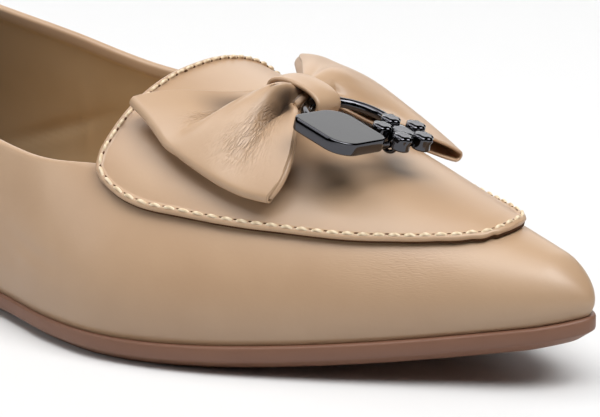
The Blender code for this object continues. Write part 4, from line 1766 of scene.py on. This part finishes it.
@dataclass
class Charms:
    """Wire ring through the knot, with a plain tag and a flower that sit on it by loops underneath."""

    bow: Bow
    wire: float = 1.0
    radius: float = 9.0
    ring_steps: tuple[int, int] = (160, 24)
    ahead: float = 4.6
    across: float = -1.2
    above: float = 0.4
    tilt: float = math.radians(1.0)
    loop_hole: float = 1.25
    loop_outer: float = 2.1
    loop_steps: tuple[int, int] = (36, 12)
    lift: float = 1.4
    tag_half_length: float = 6.8
    tag_half_width: float = 6.3
    tag_corners: tuple[float, float] = (2.0, 4.4)
    least_corner: float = 0.1
    corner_steps: int = 16
    tag_face: float = 0.6
    tag_face_row: int = 7
    tag_angle: float = math.radians(-61.0)
    tag_reach: float = 5.0
    tag_turn: float = math.radians(60.0)
    flower_angle: float = math.radians(5.0)
    flower_reach: float = 2.0
    petals: int = 5
    petal_start: float = math.radians(18.0)
    petal_radius: float = 1.95
    petal_distance: float = 4.1
    petal_height: float = 2.9
    petal_lobes: int = 6
    eye_radius: float = 2.9
    eye_height: float = 2.3
    eye_lobes: int = 8
    lobe_depth: float = 0.1
    knob_steps: int = 40
    tag_profile: Table = Table(
        ("row", "inset", "height"),
        (
            (0, 6.8, 0.0), (1, 0.5, 0.0), (2, 0.12, 0.12), (3, 0.0, 0.4), (4, 0.0, 2.3), (5, 0.05, 2.44),
            (6, 0.16, 2.55), (7, 0.3, 2.6), (8, 0.6, 2.6), (9, 3.0, 2.62), (10, 6.8, 2.64),
        ),
    )
    knob_profile: Table = Table(
        ("row", "reach", "level"),
        (
            (0, 0.0, 0.0), (1, 0.92, 0.0), (2, 0.95, 0.1), (3, 0.86, 0.45), (4, 1.0, 0.72), (5, 0.97, 0.86),
            (6, 0.78, 0.96), (7, 0.45, 0.99), (8, 0.0, 0.93),
        ),
    )

    def ring_place(self) -> Place:
        """Frame in the ring's plane at its centre.

        Returns:
            The frame.
        """
        bow = self.bow.place()
        forward = bow.forward * math.cos(self.tilt) + bow.up * math.sin(self.tilt)
        hinge = bow.at(self.ahead, self.across, self.above)
        return Place(hinge + self.radius * forward, forward, bow.across)

    def charm_place(self, angle: float) -> Place:
        """Frame on the ring's wire: forward points out of the ring and across lies along the wire.

        Args:
            angle: place round the ring.

        Returns:
            The frame.
        """
        ring = self.ring_place()
        out = ring.forward * math.cos(angle) + ring.across * math.sin(angle)
        wire = ring.across * math.cos(angle) - ring.forward * math.sin(angle)
        return Place(ring.origin + self.radius * out, out, wire)

    @staticmethod
    def tube(place: Place, radius: float, wire: float, steps: tuple[int, int], upright: bool) -> Sheet:
        """Closed ring of round wire.

        Args:
            place: frame at the ring's centre.
            radius: to the wire's middle.
            wire: radius of the wire.
            steps: steps round the ring and round the wire.
            upright: whether it stands across the frame, and does not lie in its plane.

        Returns:
            The ring.
        """
        turn, bend = turns(steps[0])[:, None], turns(steps[1])[None, :]
        reach, rise = radius + wire * np.cos(bend), wire * np.sin(bend)
        first, second = reach * np.cos(turn), reach * np.sin(turn)
        points = place.at(first, rise, second) if upright else place.at(first, second, rise)
        return Sheet.grid(np.concatenate([points, points[:1]]), wrap=True, flip=not upright).merged()

    def wire_loop(self, place: Place) -> Sheet:
        """Loop round the ring's wire under a charm."""
        middle, half = (self.loop_hole + self.loop_outer) / 2, (self.loop_outer - self.loop_hole) / 2
        return self.tube(place, middle, half, self.loop_steps, True)

    @staticmethod
    def stack(place: Place, forward: Any, across: Any, up: Any) -> Sheet:
        """Closed solid from rows of loops in a frame, the first and last drawn to a point."""
        return Sheet.grid(place.at(forward, across, up), wrap=True).merged()

    def tag_loop(self, inset: float) -> np.ndarray:
        """Outline of the tag moved in by an inset, with two tight and two wide corners in turn.

        Args:
            inset: distance inside the outline; beyond the flat face's edge the loop shrinks to a point.

        Returns:
            Places along the tag's length and width, one row for each point.
        """
        rim = min(inset, self.tag_face)
        shrink = 1 - (inset - rim) / (self.tag_half_length - self.tag_face)
        places = []
        for k in range(4):
            corner = max(self.tag_corners[k % 2] - rim, self.least_corner)
            turn = QUARTER_TURN * (k + np.arange(self.corner_steps + 1) / self.corner_steps)
            middle_turn = QUARTER_TURN * (k + 0.5)
            long_side = (self.tag_half_length - rim - corner) * np.sign(math.cos(middle_turn))
            wide_side = (self.tag_half_width - rim - corner) * np.sign(math.sin(middle_turn))
            along, aside = long_side + corner * np.cos(turn), wide_side + corner * np.sin(turn)
            places.append(np.stack([along, aside], -1))
        return shrink * np.concatenate(places)

    def tag(self) -> Sheet:
        """Plain cushion-shaped tag with a crisp edge round a bare flat face, and its loop.

        Returns:
            The tag, whose face has the second finish.
        """
        place = self.charm_place(self.tag_angle)
        loops = np.array([self.tag_loop(inset) for inset in self.tag_profile.columns["inset"]])
        a, b = loops[..., 0], loops[..., 1]
        plate = self.stack(
            place,
            self.tag_reach + a * math.cos(self.tag_turn) - b * math.sin(self.tag_turn),
            a * math.sin(self.tag_turn) + b * math.cos(self.tag_turn),
            self.lift + self.tag_profile.columns["height"][:, None],
        )
        rows = len(loops) - 1
        row = np.repeat(np.arange(rows), len(plate.faces) // rows)
        plate.parts = np.where(row >= self.tag_face_row, 1, 0)
        return Sheet.joined([plate, self.wire_loop(place)])

    def knob(
        self, place: Place, centre: tuple[float, float], radius: float, height: float, lobes: int
    ) -> Sheet:
        """Cast knob with a waist, a domed head and lobed sides.

        Args:
            place: frame of the charm.
            centre: forward and across of the knob's axis.
            radius: of its head.
            height: over the charm's underside.
            lobes: bumps round its side.

        Returns:
            The knob.
        """
        share, level = [self.knob_profile.columns[name][:, None] for name in ("reach", "level")]
        turn = turns(self.knob_steps)
        reach = radius * share * (1 + self.lobe_depth * np.cos(lobes * turn) * level)
        forward, across = centre[0] + reach * np.cos(turn), centre[1] + reach * np.sin(turn)
        return self.stack(place, forward, across, self.lift + height * level)

    def flower(self) -> Sheet:
        """Flower of knobs round an eye, and its loop.

        Returns:
            The flower.
        """
        place = self.charm_place(self.flower_angle)
        middle = (self.flower_reach, 0.0)
        pieces = [self.knob(place, middle, self.eye_radius, self.eye_height, self.eye_lobes)]
        for turn in self.petal_start + turns(self.petals):
            forward = self.flower_reach + self.petal_distance * math.cos(turn)
            centre = (forward, self.petal_distance * math.sin(turn))
            pieces.append(self.knob(place, centre, self.petal_radius, self.petal_height, self.petal_lobes))
        return Sheet.joined(pieces + [self.wire_loop(place)])

    def build(self, finishes: Finishes) -> None:
        """Makes the ring, the tag and the flower and puts each on its own body.

        Args:
            finishes: materials of the shoe.
        """
        ring = self.tube(self.ring_place(), self.radius, self.wire, self.ring_steps, False)
        mount(to_object("charm_ring_wire", ring, (finishes.gunmetal,)), Body.RING, "charm_ring")
        piece = to_object("charm_tag_plate", self.tag(), (finishes.gunmetal, finishes.satin))
        mount(piece, Body.TAG, "charm_tag")
        piece = to_object("charm_flower_cast", self.flower(), (finishes.gunmetal,))
        mount(piece, Body.FLOWER, "charm_flower")


@dataclass
class Studio:
    """Pale floor, soft lights and the camera at the photograph's angle."""

    camera_place: tuple[float, float, float] = (0.408861, -0.492561, 0.218115)
    camera_yaw: float = math.radians(35.0)
    camera_rise: float = math.radians(18.0)
    lens: float = 198.0
    sensor: float = 36.0
    clip_start: float = 0.01
    floor_size: float = 6.0
    floor_colour: str = "#DADADA"
    floor_roughness: float = 0.8
    aim: tuple[float, float, float] = (0.05, 0.0, 0.02)
    lights: tuple[tuple[str, tuple[float, float, float], tuple[float, float], float], ...] = (
        ("top", (0.05, 0.0, 1.2), (0.6, 0.6), 2.2),
        ("top_left", (-0.5, -0.1, 1.1), (0.6, 0.6), 4.2),
        ("top_right", (0.7, 0.0, 1.0), (0.6, 0.6), 9.8),
        ("top_front", (0.25, -0.45, 1.1), (0.8, 0.5), 6.5),
        ("front_left", (-0.9, -0.9, 0.6), (0.8, 0.6), 4.0),
        ("back_wall", (-0.7, 1.0, 0.55), (1.6, 0.8), 7.8),
    )

    def camera(self) -> None:
        """Makes the scene's camera."""
        made = add_object("camera", bpy.data.cameras.new("camera"))
        yaw, level = self.camera_yaw, math.cos(self.camera_rise)
        back = Vector((math.sin(yaw) * level, -math.cos(yaw) * level, math.sin(self.camera_rise)))
        right = Vector((math.cos(yaw), math.sin(yaw), 0.0))
        turn = Matrix((right, back.cross(right), back)).transposed()
        made.matrix_world = Matrix.Translation(self.camera_place) @ turn.to_4x4()
        made.data.lens = self.lens
        made.data.sensor_width = self.sensor
        made.data.clip_start = self.clip_start
        bpy.context.scene.camera = made

    def softbox(self, name: str, place: Sequence[float], size: tuple[float, float], watts: float) -> None:
        """Rectangular area light that points at the shoe.

        Args:
            name: name of the light.
            place: where it stands, in metres.
            size: its two sides.
            watts: its power.
        """
        lamp = bpy.data.lights.new(name, "AREA")
        lamp.shape = "RECTANGLE"
        lamp.size, lamp.size_y = size
        lamp.energy = watts
        made = add_object(name, lamp)
        made.location = place
        made.rotation_mode = "QUATERNION"
        made.rotation_quaternion = (Vector(self.aim) - Vector(place)).to_track_quat("-Z", "Y")

    def floor(self) -> None:
        """Makes the pale floor of paper: even, matt and without grain."""
        half = self.floor_size / 2
        corners = [(x * half, y * half, 0.0) for x, y in ((-1, -1), (1, -1), (1, 1), (-1, 1))]
        mesh = bpy.data.meshes.new("floor")
        mesh.from_pydata(corners, [], [(0, 1, 2, 3)])
        constants = {"Base Color": linear(self.floor_colour), "Roughness": self.floor_roughness}
        mesh.materials.append(start_material("pale_paper_sweep", constants)[0])
        add_object("floor", mesh)

    def build(self) -> None:
        """Makes floor, light and camera."""
        world = bpy.data.worlds.new("studio")
        world.use_nodes = True
        tree = world.node_tree
        way = add_node(tree, "ShaderNodeTexCoord").outputs["Generated"]
        height = add_node(tree, "ShaderNodeSeparateXYZ", {"Vector": way}).outputs["Z"]
        sky = {"Value": height, "From Min": 0.05, "From Max": 0.6, "To Min": 0.04, "To Max": 0.1}
        glow = add_node(tree, "ShaderNodeMapRange", sky).outputs["Result"]
        tree.links.new(glow, tree.nodes["Background"].inputs["Strength"])
        bpy.context.scene.world = world
        bpy.context.scene.view_settings.view_transform = "Standard"
        self.floor()
        for light in self.lights:
            self.softbox(*light)
        self.camera()


def main() -> None:
    """Builds the shoe piece by piece, logging each piece's faces, and sets the studio."""
    logging.basicConfig(level=logging.INFO, format="%(name)s %(message)s")
    finishes = Finishes.make()
    OUTSOLE.build(finishes.rubber)
    INSOLE.build(finishes.lining)
    Upper().build(finishes)
    Apron().build(finishes)
    bow = Bow()
    bow.build(finishes)
    Charms(bow).build(finishes)
    Studio().build()


if __name__ == "__main__":
    main()
